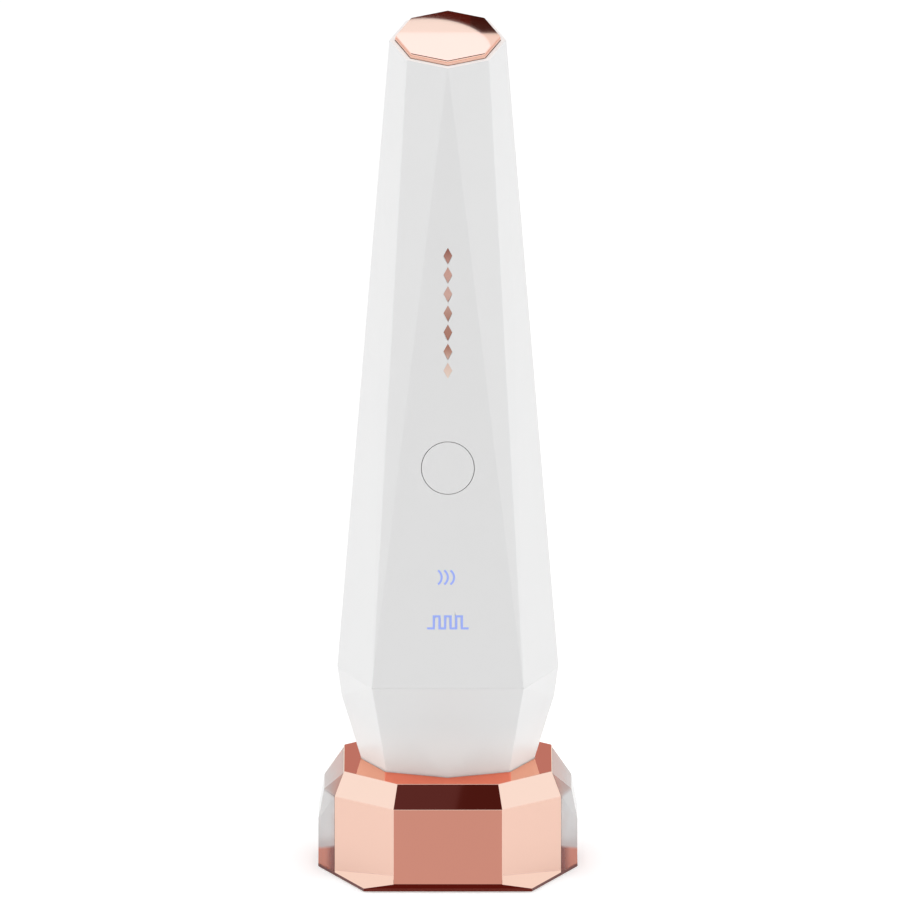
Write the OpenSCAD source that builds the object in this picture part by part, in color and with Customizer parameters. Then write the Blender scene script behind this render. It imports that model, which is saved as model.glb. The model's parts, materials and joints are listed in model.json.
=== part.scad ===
// Facial toning handset standing in its charging dock.
// Origin: centre of the dock on the surface it stands on. +Z up, front towards -Y.

/* [Handset form] */
// Corner radius of the handset where it enters the dock
seat_r = 19.15; // [18.5:0.05:19.8]
// Depth of the handset's foot below the dock's top face
foot_sink = 8.3; // [7.5:0.1:8.8]
// Corner radius lost between the dock's top face and the foot
foot_taper = 2.5; // [2.2:0.1:3]
// Height of the seam above the dock's top face
seam_rise = 20.6; // [18:0.2:24]
// Width of the front facet at the seam
front_w = 33.4; // [31:0.2:36]
// Depth of the handset at the seam
belt_d = 43.4; // [42:0.2:46]
// Width of the handset at the seam
belt_w = 48.8; // [48:0.2:52]
// Width across the two hips under the seam
hip_w = 47; // [46:0.1:47.6]
// Drop of the hips below the seam
hip_drop = 6.4; // [5:0.2:8]
// Height of the head's centre above the dock's top face
head_rise = 161.8; // [155:0.2:175]
// Corner radius of the white rim round the head
rim_r = 12.85; // [12.6:0.05:13.6]
// Slant of the head's face, down towards the front
head_slant = 17; // [10:0.5:25]
// Wall of the handset's shells
wall = 1.8; // [1.6:0.1:2.1]
// Floor of the bottom cap
cap_floor_t = 2.4; // [2.2:0.1:3]

/* [Treatment head] */
// Corner radius of the ring
head_r = 11.6; // [11.2:0.05:11.7]
// Gap between the ring and the white rim
head_gap = 0.1; // [0.06:0.01:0.15]
// Height of the ring above the white rim
ring_proud = 0.65; // [0.4:0.05:1]
// Width of the ring
ring_w = 1.2; // [0.9:0.1:1.6]
// Insulating slit between the ring and the plate
slit = 0.1; // [0.08:0.01:0.2]
// Thickness of the plate
plate_t = 0.4; // [0.3:0.05:0.8]
// Chamfer round the plate
plate_edge = 0.12; // [0.05:0.01:0.2]
// Depth of the head carrier under the rim
carrier_t = 5; // [4:0.5:7]
// Radius of the skin sensor in the head carrier
sensor_r = 1.2; // [0.8:0.1:1.6]

/* [Button and lights] */
// Radius of the button
button_r = 5.75; // [5:0.05:6.2]
// Running gap round the button
button_gap = 0.15; // [0.1:0.01:0.25]
// Distance of the button up the front facet from the seam
button_s = 49.1; // [45:0.1:54]
// Travel of the button
button_travel = 0.5; // [0.3:0.05:0.7]
// Distance of the wave light up the front facet from the seam
wave_s = 24.8; // [23:0.1:28]
// Distance of the pulse light up the front facet from the seam
pulse_s = 14.8; // [12:0.1:16]
// Height of each light's sign
sign_h = 3.1; // [2.6:0.1:3.5]
// Stroke of each light's sign
sign_stroke = 0.42; // [0.36:0.02:0.5]
// Distance of the inlay's lower end up the front facet from the seam
inlay_s = 69; // [66:0.5:74]
// Number of lozenges in the inlay
inlay_count = 7; // [5:1:8]
// Pitch of the lozenges
inlay_pitch = 4.25; // [4:0.05:4.5]
// Length of a lozenge
lozenge_l = 3.5; // [2.4:0.1:3.7]
// Width of a lozenge
lozenge_w = 1.9; // [1:0.1:2.6]
// Depth of the inlay
inlay_t = 0.35; // [0.2:0.05:0.6]

/* [Inside the handset] */
// Depth of the main board's front face behind the front facet
board_depth = 7; // [6.6:0.1:8]
// Length of the main board
board_l = 62; // [59:1:66]
// Width of the main board
board_w = 16; // [15:0.5:18]
// Thickness of the main board
board_t = 1.2; // [0.8:0.1:1.6]
// Height of the posts between the frame and the main board
post_h = 3; // [2.4:0.1:4]
// Thickness of the frame
frame_t = 1.6; // [1.2:0.1:2]
// Width of the frame
frame_w = 15; // [13:0.5:17]
// Radius of the battery cell
cell_r = 7; // [6:0.1:7.4]
// Length of the battery cell
cell_l = 48; // [40:1:50]
// Spacing of the charging pads
pad_pitch = 10; // [8:0.2:12]
// Radius of a charging pad
pad_r = 2; // [1.6:0.1:2.4]
// Distance of a cap screw from the middle
cap_screw_y = 9; // [8:0.1:10]

/* [Dock] */
// Height of the dock's top face
dock_h = 23.15; // [22.5:0.05:25]
// Height at which the dock's walls begin to lean in
shoulder_h = 17.85; // [16:0.05:18.5]
// Width of the dock's shell
dock_w = 49.9; // [49:0.1:51]
// Depth of the dock's shell
dock_d = 55.4; // [54:0.2:57]
// Width of the dock's front wall
dock_front_w = 24; // [22:0.2:26]
// Length of the dock's side walls
dock_side_l = 29.7; // [28:0.1:32]
// Lean of the walls, from the shoulder to the top face
dock_lean = 2.1; // [1.6:0.1:2.4]
// Wall of the dock's shell
dock_wall = 1.6; // [1.2:0.1:1.8]
// Clearance round the handset in the dock
seat_gap = 0.3; // [0.25:0.01:0.35]
// Wall of the seat cup
cup_wall = 1.2; // [1:0.1:1.4]

/* [Base plate and crystals] */
// How far each crystal reaches beyond the dock's side wall
crystal_w = 3.65; // [3.2:0.05:5]
// How far the base plate reaches beyond the dock's front wall
plate_front = 3.9; // [2.8:0.1:5]
// Length of the base plate's front edge
base_front_w = 37; // [34:0.5:40]
// Length of the base plate's side edges
base_side_l = 14.6; // [13:0.1:18]
// Thickness of the base plate at its edge
base_t = 0.7; // [0.6:0.05:1]
// Height of the step that locates the dock's shell
base_step = 1.4; // [1.2:0.1:1.8]
// Gap under the base plate
foot_h = 0.3; // [0.2:0.05:1]
// Radius of a foot pad
foot_r = 3.5; // [2.5:0.1:4]
// Height of a crystal's outer edge
crystal_edge_h = 11; // [8:0.5:14]
// How far a crystal's shoulder stands in from its outer edge
crystal_lean = 1.3; // [0.8:0.1:2]

/* [Charging contacts] */
// Radius of a spring pin
pin_r = 0.9; // [0.7:0.05:1.1]
// Running gap round a spring pin
pin_gap = 0.06; // [0.03:0.01:0.1]
// Travel of a spring pin
pin_travel = 0.9; // [0.5:0.1:1]
// Width of the power socket
socket_w = 8.94; // [8.5:0.02:9.2]
// Height of the power socket
socket_h = 3.26; // [3:0.02:3.5]

/* [Hidden] */

// General
eps = 0.01;
snug = 0.05;                        // between pieces that are glued or clipped together
far = 400;                          // side of a block that cuts half the part away
turn = 8;                           // sides of the handset's and the seat's rings

// Heights
foot_z = dock_h - foot_sink;
foot_ring_r = seat_r - foot_taper;
seam_z = dock_h + seam_rise;
head_z = dock_h + head_rise;
plate_top_z = foot_h + base_t;      // the base plate's top face
step_top_z = plate_top_z + base_step;

// Front facet: its lean, its length from the seam to the rim, and the shell's wall behind it
rim_front_y = -rim_r * cos(head_slant);
rim_front_z = head_z - rim_r * sin(head_slant);
facet_lean = atan((belt_d / 2 + rim_front_y) / (rim_front_z - seam_z));
facet_len = (rim_front_z - seam_z) / cos(facet_lean);
rim_wall = rim_r - head_r - head_gap;
head_taper = (belt_w / 2 - rim_r) / (head_z - seam_z);
room_rise = 1;                      // the shells' room runs out through the head's face
function front_wall(s) = wall - (wall - rim_wall) * s / facet_len;

// Treatment head
ledge = 0.2;                        // how deep the ring sits below the rim
boss_reach = ring_proud + slit;     // the carrier's boss, up to the plate
sensor_l = 1.6;

// Seam between the shells and the bottom cap
lip_h = 2;
lip_t = 1;
lip_gap = 0.3;                      // from the shells' wall, which leans in above the seam
lip_root = 4;                       // how far the lip's root reaches down the cap
gasket_h = 0.6;
cap_floor_z = foot_z + cap_floor_t;

// Screws: shank, head and the boss that takes them
screw_r = 1.1;
screw_head_r = 2;
screw_head_t = 1.2;
screw_slack = 0.15;
slot_w = 0.5;
boss_r = 2.5;
frame_screw_l = 5;
cap_screw_l = 8;
dock_screw_l = 6;
hole_spare = 2;                     // how much deeper a blind hole is than its screw
cap_seat_z = foot_z + screw_head_t + snug;  // the seat of the cap screws' heads

// Button: depths behind the front facet
flange_t = 0.8;
flange_w = 0.9;
flange_gap = 0.2;
flange_top = front_wall(button_s) + flange_gap;
flange_low = flange_top + flange_t;
switch_h = 3;
switch_side = 6;
plunger_r = 1.6;
plunger_out = 0.75;                 // how far the plunger stands out of the switch
plunger_in = 0.8;                   // and how far it reaches in
plunger_top = board_depth - switch_h - plunger_out;
plunger_play = 0.25;
plunger_well = plunger_in + button_travel + plunger_play;
plunger_gap = 0.1;

// Lights
led_w = 2.8;
led_d = 1.6;
led_h = 0.8;
led_gap = 0.1;
guide_t = 1;
guide_rim = 1.2;
guide_leg_w = led_w - 4 * led_gap;
wave_r = sign_h * 0.62;             // radius of the wave sign's arcs
wave_span = 54;                     // half the angle that each arc spans
wave_pitch = sign_h * 0.44;
pulse_step = sign_h * 0.4;          // width of half a pulse
pulse_y = (sign_h - sign_stroke) / 2;

// Board, frame and cell
board_s = 5;                        // the board's lower end, up the front facet
board_back = board_depth + board_t;
frame_front = board_back + post_h;
frame_back = frame_front + frame_t;
frame_foot_s = -4.5;
post_r = 1.4;
post_inset = 4;
post_edge = 0.5;
post_s = [board_s + post_inset, board_s + board_l - post_inset];
cell_s = 6;
cell_nub_l = 1;
cell_nub_share = 0.4;
cell_gap = 0.2;
cell_n = frame_back + cell_gap + cell_r;
cradle_t = 1.2;
cradle_l = 8;
cradle_x = cell_r + cell_gap + cradle_t / 2;
cradle_inset = 10;
cradle_s = [cell_s + cradle_inset, cell_s + cell_l - cradle_inset];
rib_w = 3 * cradle_t;
stop_h = 5;
frame_screw_gap = 8;                // from the cell's end to the first screw
frame_screw_pitch = 32;
frame_screw_s = [for (i = [0:1]) cell_s + cell_l + frame_screw_gap + i * frame_screw_pitch];
frame_hole_l = frame_screw_l + hole_spare;
coil_up = 4;
coil_s = board_s + board_l / 2 + coil_up;
coil_w = 10;
coil_l = 11;
coil_gap = 0.2;
deck_t = 1.6;
deck_z = seam_z - lip_root - deck_t;
deck_hole_r = 1.6;
foam_w = 8;
foam_inset = 12;
foam_gap = 0.1;
pad_proud = 0.05;
pad_rim = 0.6;
pad_head_z = cap_floor_z + pad_rim;

// Components on the board: their places from its ends and edges, and their sizes
controller_s = 27;
controller_side = 6;
controller_h = 1;
driver_s = 28;
driver_inset = 2.5;
driver_w = 2;
driver_l = 3.4;
driver_h = 1.2;
capacitor_s = 7;
capacitor_pitch = 3.6;
capacitor_w = 1.6;
capacitor_l = 3;
capacitor_h = 1.4;
plug_s = 4.4;
plug_inset = 2;
plug_w = 1.6;
plug_l = 2.4;
plug_h = 1.6;

// Leads: tubes swept along their routes
wire_r = 0.5;
wire_sides = 8;
wire_x = 4.6;
wire_tie = 1;                       // the end that lies on what the lead is joined to
wire_run = 3;                       // the straight run past the board's end
wire_drop = 8;                      // the length in which it drops towards the frame
wire_turn = 12;                     // where it turns to the head, below the rim
wire_head_y = 4;                    // how far in front of the head's middle it ends
wire_low_s = 2.5;                   // where the charging leads pass the frame
wire_step = 1;
wire_side = frame_w / 2 + 2 * wire_r;
wire_back = frame_back + 2 * wire_r;

// Base plate: as wide as the crystals reach
base_w = dock_w + 2 * crystal_w;
base_d = dock_d + 2 * plate_front;

// Dock: outlines, and the space under its top
corner_in = 0.83;                   // a wall's edges lose this much of their length per unit of inset
lean_edge = 1.7;                    // and this much where the walls lean in
cup_floor_t = 1.4;
cup_floor_z = foot_z - seat_gap;
cup_low_z = cup_floor_z - cup_floor_t;
cup_flange_t = 1.2;
dock_roof_z = dock_h - dock_wall;   // the underside of the dock's top
dock_board_t = 1;
dock_board_w = 17;
dock_board_front = 8;
dock_board_gap = 0.6;
dock_board_top = step_top_z + dock_board_t;
dock_boss_r = 2.1;
dock_boss_in = 5.2;
dock_boss_out = 0.2;
dock_boss_x = dock_w / 2 - dock_wall - dock_boss_in;
dock_boss_y = dock_side_l / 2 + dock_boss_out;
dock_hole_l = dock_screw_l;
foot_sunk = 0.3;
foot_inset = 2.4;
foot_share = 0.4;                   // the pads' places, as a share of the front edge

// Crystals
crystal_inset = 0.05;
crystal_x = base_w / 2 - crystal_inset;
crystal_drop = 0.3;                 // its knife edge stays under the dock's top face
crystal_top_z = dock_h - crystal_drop;
crystal_bite = 1.5;                 // how far the raw block reaches into the dock's outline

// Spring pins and their block
pin_rest_gap = 0.1;                 // from the charging pads, while the pins aren't pushed
pin_tip_z = foot_z - pad_proud - pin_rest_gap;
pin_flange_w = 0.5;
pin_flange_r = pin_r + pin_flange_w;
pin_tail_r = 0.8 * pin_r;
pin_flange_t = 1;
block_rim = 2.5;
block_w = pad_pitch + 2 * block_rim;
block_d = 5;
block_floor = 0.8;
block_roof = 1;
block_top = cup_low_z - snug;
pin_shoulder_z = block_top - block_roof;
pin_tail_gap = 0.3;

// Power socket
socket_wall = 0.3;
socket_l = 7.3;
socket_hole_gap = 0.25;
socket_z = dock_board_top + socket_h / 2;
socket_in = 0.3;
socket_y = dock_d / 2 - socket_in;  // its mouth, just inside the wall's outer face
socket_back_t = 1;
tongue_w = 6.6;
tongue_t = 0.7;
tongue_in = 0.9;

// Ballast
ballast_gap = 0.8;
ballast_in = dock_board_w / 2 + ballast_gap;
ballast_y = dock_boss_y - dock_boss_r - ballast_gap;
ballast_top = cup_low_z - ballast_gap;

// An octagon that spans w by d, with front and back edges fw long and side edges sl long
function octo(w, d, fw, sl) = [
    [-fw / 2, -d / 2], [fw / 2, -d / 2], [w / 2, -sl / 2], [w / 2, sl / 2],
    [fw / 2, d / 2], [-fw / 2, d / 2], [-w / 2, sl / 2], [-w / 2, -sl / 2]
];

// The outline of the dock's walls, and of its top face, moved in by a wall t
function dock_in(t) = octo(dock_w - 2 * t, dock_d - 2 * t,
    dock_front_w - corner_in * t, dock_side_l - corner_in * t);
function dock_top_in(t) = octo(dock_w - 2 * (t + dock_lean), dock_d - 2 * (t + dock_lean),
    dock_front_w - corner_in * (t + dock_lean), dock_side_l - corner_in * t - lean_edge * dock_lean);

// The handset's outline at the seam, moved in by a wall t
belt_corner_in = 0.6;
function belt(t) = let(x = front_w / 2 - belt_corner_in * t, y = belt_d / 2 - t, side = belt_w / 2 - t)
    [[-x, -y], [x, -y], [side, 0], [x, y], [-x, y], [-side, 0]];

// A point of the front facet's frame, in world axes: x across, s up the facet, n out of it
function facet_point(x, s, n) = [
    x,
    -belt_d / 2 + s * sin(facet_lean) - n * cos(facet_lean),
    seam_z + s * cos(facet_lean) + n * sin(facet_lean)
];

// A point of the head's frame, in world axes: x across, y up the slope and z out of the head
function head_point(x, y, z) = [
    x,
    y * cos(head_slant) - z * sin(head_slant),
    head_z + y * sin(head_slant) + z * cos(head_slant)
];

// Thin slice that a hull runs through
module slab(z) translate([0, 0, z]) linear_extrude(eps) children();

// Places children on the front facet: local +Y runs up it and local +Z out of it
module on_front(s) translate([0, -belt_d / 2, seam_z]) rotate([90 - facet_lean, 0, 0])
    translate([0, s, 0]) children();

// Places children on the head's face: local +Z runs out of it
module on_head() translate([0, 0, head_z]) rotate([head_slant, 0, 0]) children();

// The head's ring, moved in by a wall t
function head_ring(t) = t < wall ? rim_r - t * rim_wall / wall : rim_r - rim_wall - t + wall;

// The handset's cut-gem form above the dock's top face, moved in by a wall t, and drawn on upwards by rise
module body_form(t, rise = 0) hull() {
    slab(dock_h) circle(r = seat_r - t, $fn = turn);
    slab(seam_z - hip_drop) square([hip_w - 2 * t, eps], center = true);
    slab(seam_z) polygon(belt(t));
    translate([0, 0, rise]) on_head() slab(-eps) circle(r = head_ring(t) - rise * head_taper, $fn = turn);
}

// Its foot, which goes down into the dock
module foot_form(t, low_z = foot_z) hull() {
    slab(low_z) circle(r = foot_ring_r - t, $fn = turn);
    slab(dock_h + eps) circle(r = seat_r - t, $fn = turn);
}

// Blocks that cut the part in two
module front_half() translate([-far / 2, -far, -far / 2]) cube(far);
module back_half() translate([-far / 2, 0, -far / 2]) cube(far);
module above(z) translate([-far / 2, -far / 2, z]) cube(far);
module below(z) translate([-far / 2, -far / 2, z - far]) cube(far);
module head_block(z0, z1) on_head() translate([-far / 2, -far / 2, z0]) cube([far, far, z1 - z0]);

// Screw with its head's seat at the origin, pointing down
module screw(l) {
    translate([0, 0, -l]) cylinder(r = screw_r, h = l, $fn = 24);
    difference() {
        cylinder(r = screw_head_r, h = screw_head_t, $fn = 32);
        for (a = [0, 90]) rotate(a) translate([-screw_r, -slot_w / 2, screw_head_t / 2])
            cube([2 * screw_r, slot_w, screw_head_t]);
    }
}

// Tube of radius r along the points p
function unit(v) = v / norm(v);
function heading(p, i) = unit((i > 0 ? unit(p[i] - p[i - 1]) : [0, 0, 0])
    + (i < len(p) - 1 ? unit(p[i + 1] - p[i]) : [0, 0, 0]));
function tube_ring(p, i, r) = let(u = unit(cross(heading(p, i), [1, 0, 0])), v = cross(heading(p, i), u))
    [for (k = [0:wire_sides - 1]) p[i] + r * (cos(k * 360 / wire_sides) * u + sin(k * 360 / wire_sides) * v)];
function tube_side(i, k) = let(a = i * wire_sides, b = a + wire_sides, next = (k + 1) % wire_sides)
    [a + k, b + k, b + next, a + next];
module tube(p, r) polyhedron(
    points = [for (i = [0:len(p) - 1]) each tube_ring(p, i, r)],
    faces = concat(
        [[for (k = [0:wire_sides - 1]) k]],
        [for (i = [0:len(p) - 2], k = [0:wire_sides - 1]) tube_side(i, k)],
        [[for (k = [wire_sides - 1:-1:0]) (len(p) - 1) * wire_sides + k]]
    )
);

/* ---------- Signs, each with its strokes grown by g all round ---------- */

module arc(r, w) intersection() {
    difference() {
        circle(r = r + w / 2, $fn = 48);
        circle(r = r - w / 2, $fn = 48);
    }
    polygon([[0, 0], 3 * r * [cos(wave_span), -sin(wave_span)], 3 * r * [cos(wave_span), sin(wave_span)]]);
}

// Three arcs of a spreading wave
module wave_sign(g = 0) for (i = [-1:1])
    translate([i * wave_pitch - wave_r, 0]) arc(wave_r, sign_stroke + 2 * g);

module stroke(x0, y0, x1, y1, w) translate([x0 - w / 2, y0 - w / 2]) square([x1 - x0 + w, y1 - y0 + w]);

// Three square pulses on a line
module pulse_sign(g = 0) {
    w = sign_stroke + 2 * g;
    half = pulse_step / 2;
    stroke(-3.5 * pulse_step, -pulse_y, -2.5 * pulse_step, -pulse_y, w);
    for (i = [-1:1]) translate([2 * i * pulse_step, 0]) {
        stroke(-half, -pulse_y, -half, pulse_y, w);
        stroke(-half, pulse_y, half, pulse_y, w);
        stroke(half, -pulse_y, half, pulse_y, w);
        stroke(half, -pulse_y, 3 * half, -pulse_y, w);
    }
}

// Row of lozenges up the front facet
module lozenges(g = 0) {
    x = lozenge_w / 2 + g;
    y = lozenge_l / 2 + g;
    for (i = [0:inlay_count - 1]) translate([0, inlay_s + lozenge_l / 2 + i * inlay_pitch])
        polygon([[-x, 0], [0, -y], [x, 0], [0, y]]);
}

/* ---------- Handset: shells and seal ---------- */

module front_shell() color("whitesmoke") difference() {
    body_form(0);
    body_form(wall, room_rise);
    back_half();
    below(seam_z);
    on_front(button_s) translate([0, 0, -2 * wall])
        cylinder(r = button_r + button_gap, h = 4 * wall, $fn = 64);
    on_front(wave_s) translate([0, 0, -2 * wall]) linear_extrude(4 * wall) wave_sign(snug / 2);
    on_front(pulse_s) translate([0, 0, -2 * wall]) linear_extrude(4 * wall) pulse_sign(snug / 2);
    on_front(0) translate([0, 0, -inlay_t]) linear_extrude(2 * inlay_t) lozenges(snug / 2);
}

// Rear shell, with the two bosses that the frame is screwed to
module rear_shell() color("whitesmoke") {
    difference() {
        body_form(0);
        body_form(wall, room_rise);
        front_half();
        below(seam_z);
    }
    difference() {
        intersection() {
            for (s = frame_screw_s) on_front(s) translate([0, 0, -far / 2])
                cylinder(r = boss_r, h = far / 2 - frame_back, $fn = 32);
            body_form(wall / 2);
        }
        for (s = frame_screw_s) on_front(s) translate([0, 0, -frame_back - frame_hole_l])
            cylinder(r = screw_r, h = frame_hole_l + 1, $fn = 24);
    }
}

// Ring that follows the seam's outline, from inset t0 to inset t1
module seam_ring(z, h, t0, t1) translate([0, 0, z]) linear_extrude(h) difference() {
    polygon(belt(t0));
    polygon(belt(t1));
}

module charge_pad_places() for (x = [-1, 1]) translate([x * pad_pitch / 2, 0, 0]) children();
module cap_screw_places() for (y = [-1, 1]) translate([0, y * cap_screw_y, 0]) children();

// Cup under the seam: it carries the charging pads and enters the dock
module bottom_cap() color("whitesmoke") {
    difference() {
        union() {
            body_form(0);
            foot_form(0);
        }
        body_form(wall);
        foot_form(wall, cap_floor_z);
        above(seam_z);
        charge_pad_places() translate([0, 0, foot_z - 1])
            cylinder(r = pad_r + snug, h = cap_floor_t + 2, $fn = 32);
        cap_screw_places() translate([0, 0, foot_z - 1]) {
            cylinder(r = screw_r + screw_slack, h = cap_floor_t + 2, $fn = 24);
            cylinder(r = screw_head_r + screw_slack, h = 1 + cap_seat_z - foot_z, $fn = 32);
        }
    }
    // Lip that goes up inside the two shells
    seam_ring(seam_z - lip_root, lip_root + lip_h, wall + lip_gap, wall + lip_gap + lip_t);
}

// Seal on top of the lip
module seam_gasket() color("dimgray")
    seam_ring(seam_z + lip_h, gasket_h, wall + lip_gap + snug, wall + lip_gap + lip_t);

/* ---------- Handset: treatment head ---------- */

module head_carrier() color("gainsboro") difference() {
    union() {
        intersection() {
            body_form(wall + head_gap);
            head_block(-carrier_t, -ledge);
        }
        on_head() translate([0, 0, -ledge - eps]) linear_extrude(ledge + boss_reach + eps)
            circle(r = head_r - ring_w - snug, $fn = turn);
    }
    on_head() translate([0, 0, boss_reach - sensor_l - snug])
        cylinder(r = sensor_r + snug, h = 2 * sensor_l, $fn = 24);
}

module ring_electrode() color("#d99a84") on_head() translate([0, 0, -ledge])
    linear_extrude(ledge + ring_proud) difference() {
        circle(r = head_r, $fn = turn);
        circle(r = head_r - ring_w, $fn = turn);
    }

module plate_electrode() color("#e0a48f") on_head() translate([0, 0, boss_reach]) hull() {
    slab(0) circle(r = head_r - plate_edge, $fn = turn);
    slab(plate_t - plate_edge - eps) circle(r = head_r - plate_edge, $fn = turn);
    slab(plate_t - eps) circle(r = head_r - 2 * plate_edge, $fn = turn);
}

module skin_sensor() color("darkorange") on_head() translate([0, 0, boss_reach - sensor_l])
    cylinder(r = sensor_r, h = sensor_l - snug, $fn = 24);

/* ---------- Handset: frame, board and power ---------- */

// Level plate that ends the frame and closes the cap's mouth
module deck() difference() {
    intersection() {
        body_form(wall + 3 * snug);
        translate([-far / 2, -far / 2, deck_z]) cube([far, far, deck_t]);
    }
    charge_pad_places() translate([0, 0, deck_z - 1]) cylinder(r = deck_hole_r, h = deck_t + 2, $fn = 24);
}

module inner_frame() color("lightgray") difference() {
    union() {
        // Spine, up to the head carrier
        on_front(frame_foot_s) translate([-frame_w / 2, 0, -frame_back])
            cube([frame_w, 2 * facet_len, frame_t]);
        // Posts for the board
        for (x = [-1, 1], s = post_s) on_front(s)
            translate([x * (board_w / 2 - post_r - post_edge), 0, -frame_front - eps])
                cylinder(r = post_r, h = post_h + eps, $fn = 24);
        // Cradle arms beside the cell
        for (x = [-1, 1], s = cradle_s) on_front(s)
            translate([x * cradle_x - cradle_t / 2, -cradle_l / 2, -frame_back - cell_r])
                cube([cradle_t, cradle_l, cell_r + eps]);
        // Ribs from the arms to the spine's edge
        for (x = [-1, 1], s = cradle_s) on_front(s)
            translate([x * (frame_w / 2 + cell_r + cell_gap) / 2 - rib_w / 2, -cradle_l / 2, -frame_back])
                cube([rib_w, cradle_l, frame_t]);
        // Stops at the cell's two ends
        for (s = [cell_s - cell_gap - cradle_t, cell_s + cell_l + cell_gap]) on_front(s)
            translate([-cradle_l / 2, 0, -frame_back - stop_h]) cube([cradle_l, cradle_t, stop_h + eps]);
        deck();
        // Bosses for the cap screws
        cap_screw_places() translate([0, 0, cap_floor_z + snug])
            cylinder(r = boss_r, h = deck_z + deck_t - cap_floor_z - snug, $fn = 32);
    }
    head_block(-carrier_t - snug, far);
    for (s = frame_screw_s) on_front(s) translate([0, 0, -frame_back - 1])
        cylinder(r = screw_r + screw_slack, h = frame_t + 2, $fn = 24);
    cap_screw_places() translate([0, 0, cap_floor_z - 1])
        cylinder(r = screw_r, h = cap_screw_l + 1, $fn = 24);
}

module frame_screws() color("silver") for (s = frame_screw_s) on_front(s)
    translate([0, 0, -frame_front]) screw(frame_t + frame_screw_l);

module main_board() color("seagreen") on_front(board_s)
    translate([-board_w / 2, 0, -board_back]) cube([board_w, board_l, board_t]);

// Block of w by l by h on the board, centred on x and s
module chip(x, s, w, l, h) on_front(s) translate([x - w / 2, -l / 2, -board_depth]) cube([w, l, h]);

module board_parts() color("dimgray") {
    chip(0, board_s + controller_s, controller_side, controller_side, controller_h);
    for (i = [-1.5:1.5])
        chip(i * capacitor_pitch, board_s + board_l - capacitor_s, capacitor_w, capacitor_l, capacitor_h);
    for (side = [-1, 1]) {
        chip(side * (board_w / 2 - driver_inset), board_s + driver_s, driver_w, driver_l, driver_h);
        chip(side * (board_w / 2 - plug_inset), board_s + plug_s, plug_w, plug_l, plug_h);
    }
}

// Step-up transformer, on the back of the board
module rf_transformer() color("peru") on_front(coil_s)
    translate([-coil_w / 2, -coil_l / 2, -frame_front + coil_gap]) cube([coil_w, coil_l, post_h - coil_gap]);

module battery_cell() color("royalblue") on_front(cell_s) translate([0, 0, -cell_n]) rotate([-90, 0, 0]) {
    cylinder(r = cell_r, h = cell_l - cell_nub_l, $fn = 48);
    translate([0, 0, cell_l - cell_nub_l - eps])
        cylinder(r = cell_nub_share * cell_r, h = cell_nub_l + eps, $fn = 32);
}

// Foam between the cell and the rear shell
module battery_foam() color("dimgray") intersection() {
    on_front(cell_s + foam_inset) translate([-foam_w / 2, 0, -far])
        cube([foam_w, cell_l - 2 * foam_inset, far - cell_n - cell_r - foam_gap]);
    body_form(wall + snug);
}

// From the board's top end, round the frame's front, to the two electrodes' carrier
module electrode_leads() color("firebrick") for (x = [-wire_x, wire_x]) tube([
    facet_point(x, board_s + board_l - wire_tie, -board_depth + wire_r),
    facet_point(x, board_s + board_l + wire_run, -board_depth + wire_r),
    facet_point(x, board_s + board_l + wire_run + wire_drop, -frame_front + 2 * wire_r),
    facet_point(x, facet_len - wire_turn, -frame_front + 2 * wire_r),
    head_point(x, -wire_head_y, -carrier_t - wire_r / 2)
], wire_r);

// From the charging pads to the board's bottom end
module charge_leads() color("firebrick") for (side = [-1, 1]) tube([
    [side * pad_pitch / 2, 0, pad_head_z + snug],
    [side * pad_pitch / 2, 0, deck_z + deck_t + wire_tie],
    facet_point(side * pad_pitch / 2, wire_low_s, -wire_back),
    facet_point(side * wire_side, wire_low_s + wire_step, -wire_back),
    facet_point(side * wire_side, wire_low_s + 2 * wire_step, -frame_front),
    facet_point(side * (board_w / 2 - plug_inset), board_s + 2 * wire_tie, -board_back - wire_r - snug)
], wire_r);

module charge_pads() color("goldenrod") charge_pad_places() translate([0, 0, foot_z - pad_proud]) {
    cylinder(r = pad_r, h = cap_floor_t + pad_proud + eps, $fn = 32);
    translate([0, 0, cap_floor_t + pad_proud]) cylinder(r = pad_r + pad_rim, h = pad_rim, $fn = 32);
}

module cap_screws() color("silver") cap_screw_places() translate([0, 0, cap_seat_z])
    mirror([0, 0, 1]) translate([0, 0, eps]) screw(cap_screw_l);

/* ---------- Handset: switch, lights and inlay ---------- */

module tact_switch() color("silver") on_front(button_s) difference() {
    translate([-switch_side / 2, -switch_side / 2, -board_depth]) cube([switch_side, switch_side, switch_h]);
    translate([0, 0, -plunger_top - plunger_out - plunger_well])
        cylinder(r = plunger_r + plunger_gap, h = plunger_well + 1, $fn = 32);
}

module mode_leds() color("lightyellow") for (s = [wave_s, pulse_s]) chip(0, s, led_w, led_d, led_h);

// Light guide w wide: a flange behind the shell and a leg down to the LED
module guide(s, w) on_front(s) {
    back = front_wall(s) + snug;
    leg = board_depth - led_h - led_gap - back;
    translate([0, 0, -back - guide_t]) linear_extrude(guide_t) square([w, sign_h + guide_rim], center = true);
    translate([0, 0, -back - leg]) linear_extrude(leg) square([guide_leg_w, led_d], center = true);
}

module wave_light() color("cornflowerblue") {
    guide(wave_s, 2 * wave_pitch + wave_r + guide_rim);
    on_front(wave_s) translate([0, 0, -front_wall(wave_s) - 2 * snug])
        linear_extrude(front_wall(wave_s) + 2 * snug) wave_sign();
}

module pulse_light() color("cornflowerblue") {
    guide(pulse_s, 7 * pulse_step + guide_rim);
    on_front(pulse_s) translate([0, 0, -front_wall(pulse_s) - 2 * snug])
        linear_extrude(front_wall(pulse_s) + 2 * snug) pulse_sign();
}

module inlay() color("#d99a84") on_front(0) translate([0, 0, -inlay_t + snug / 2])
    linear_extrude(inlay_t - snug / 2) lozenges();

/* ---------- Button ---------- */

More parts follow.
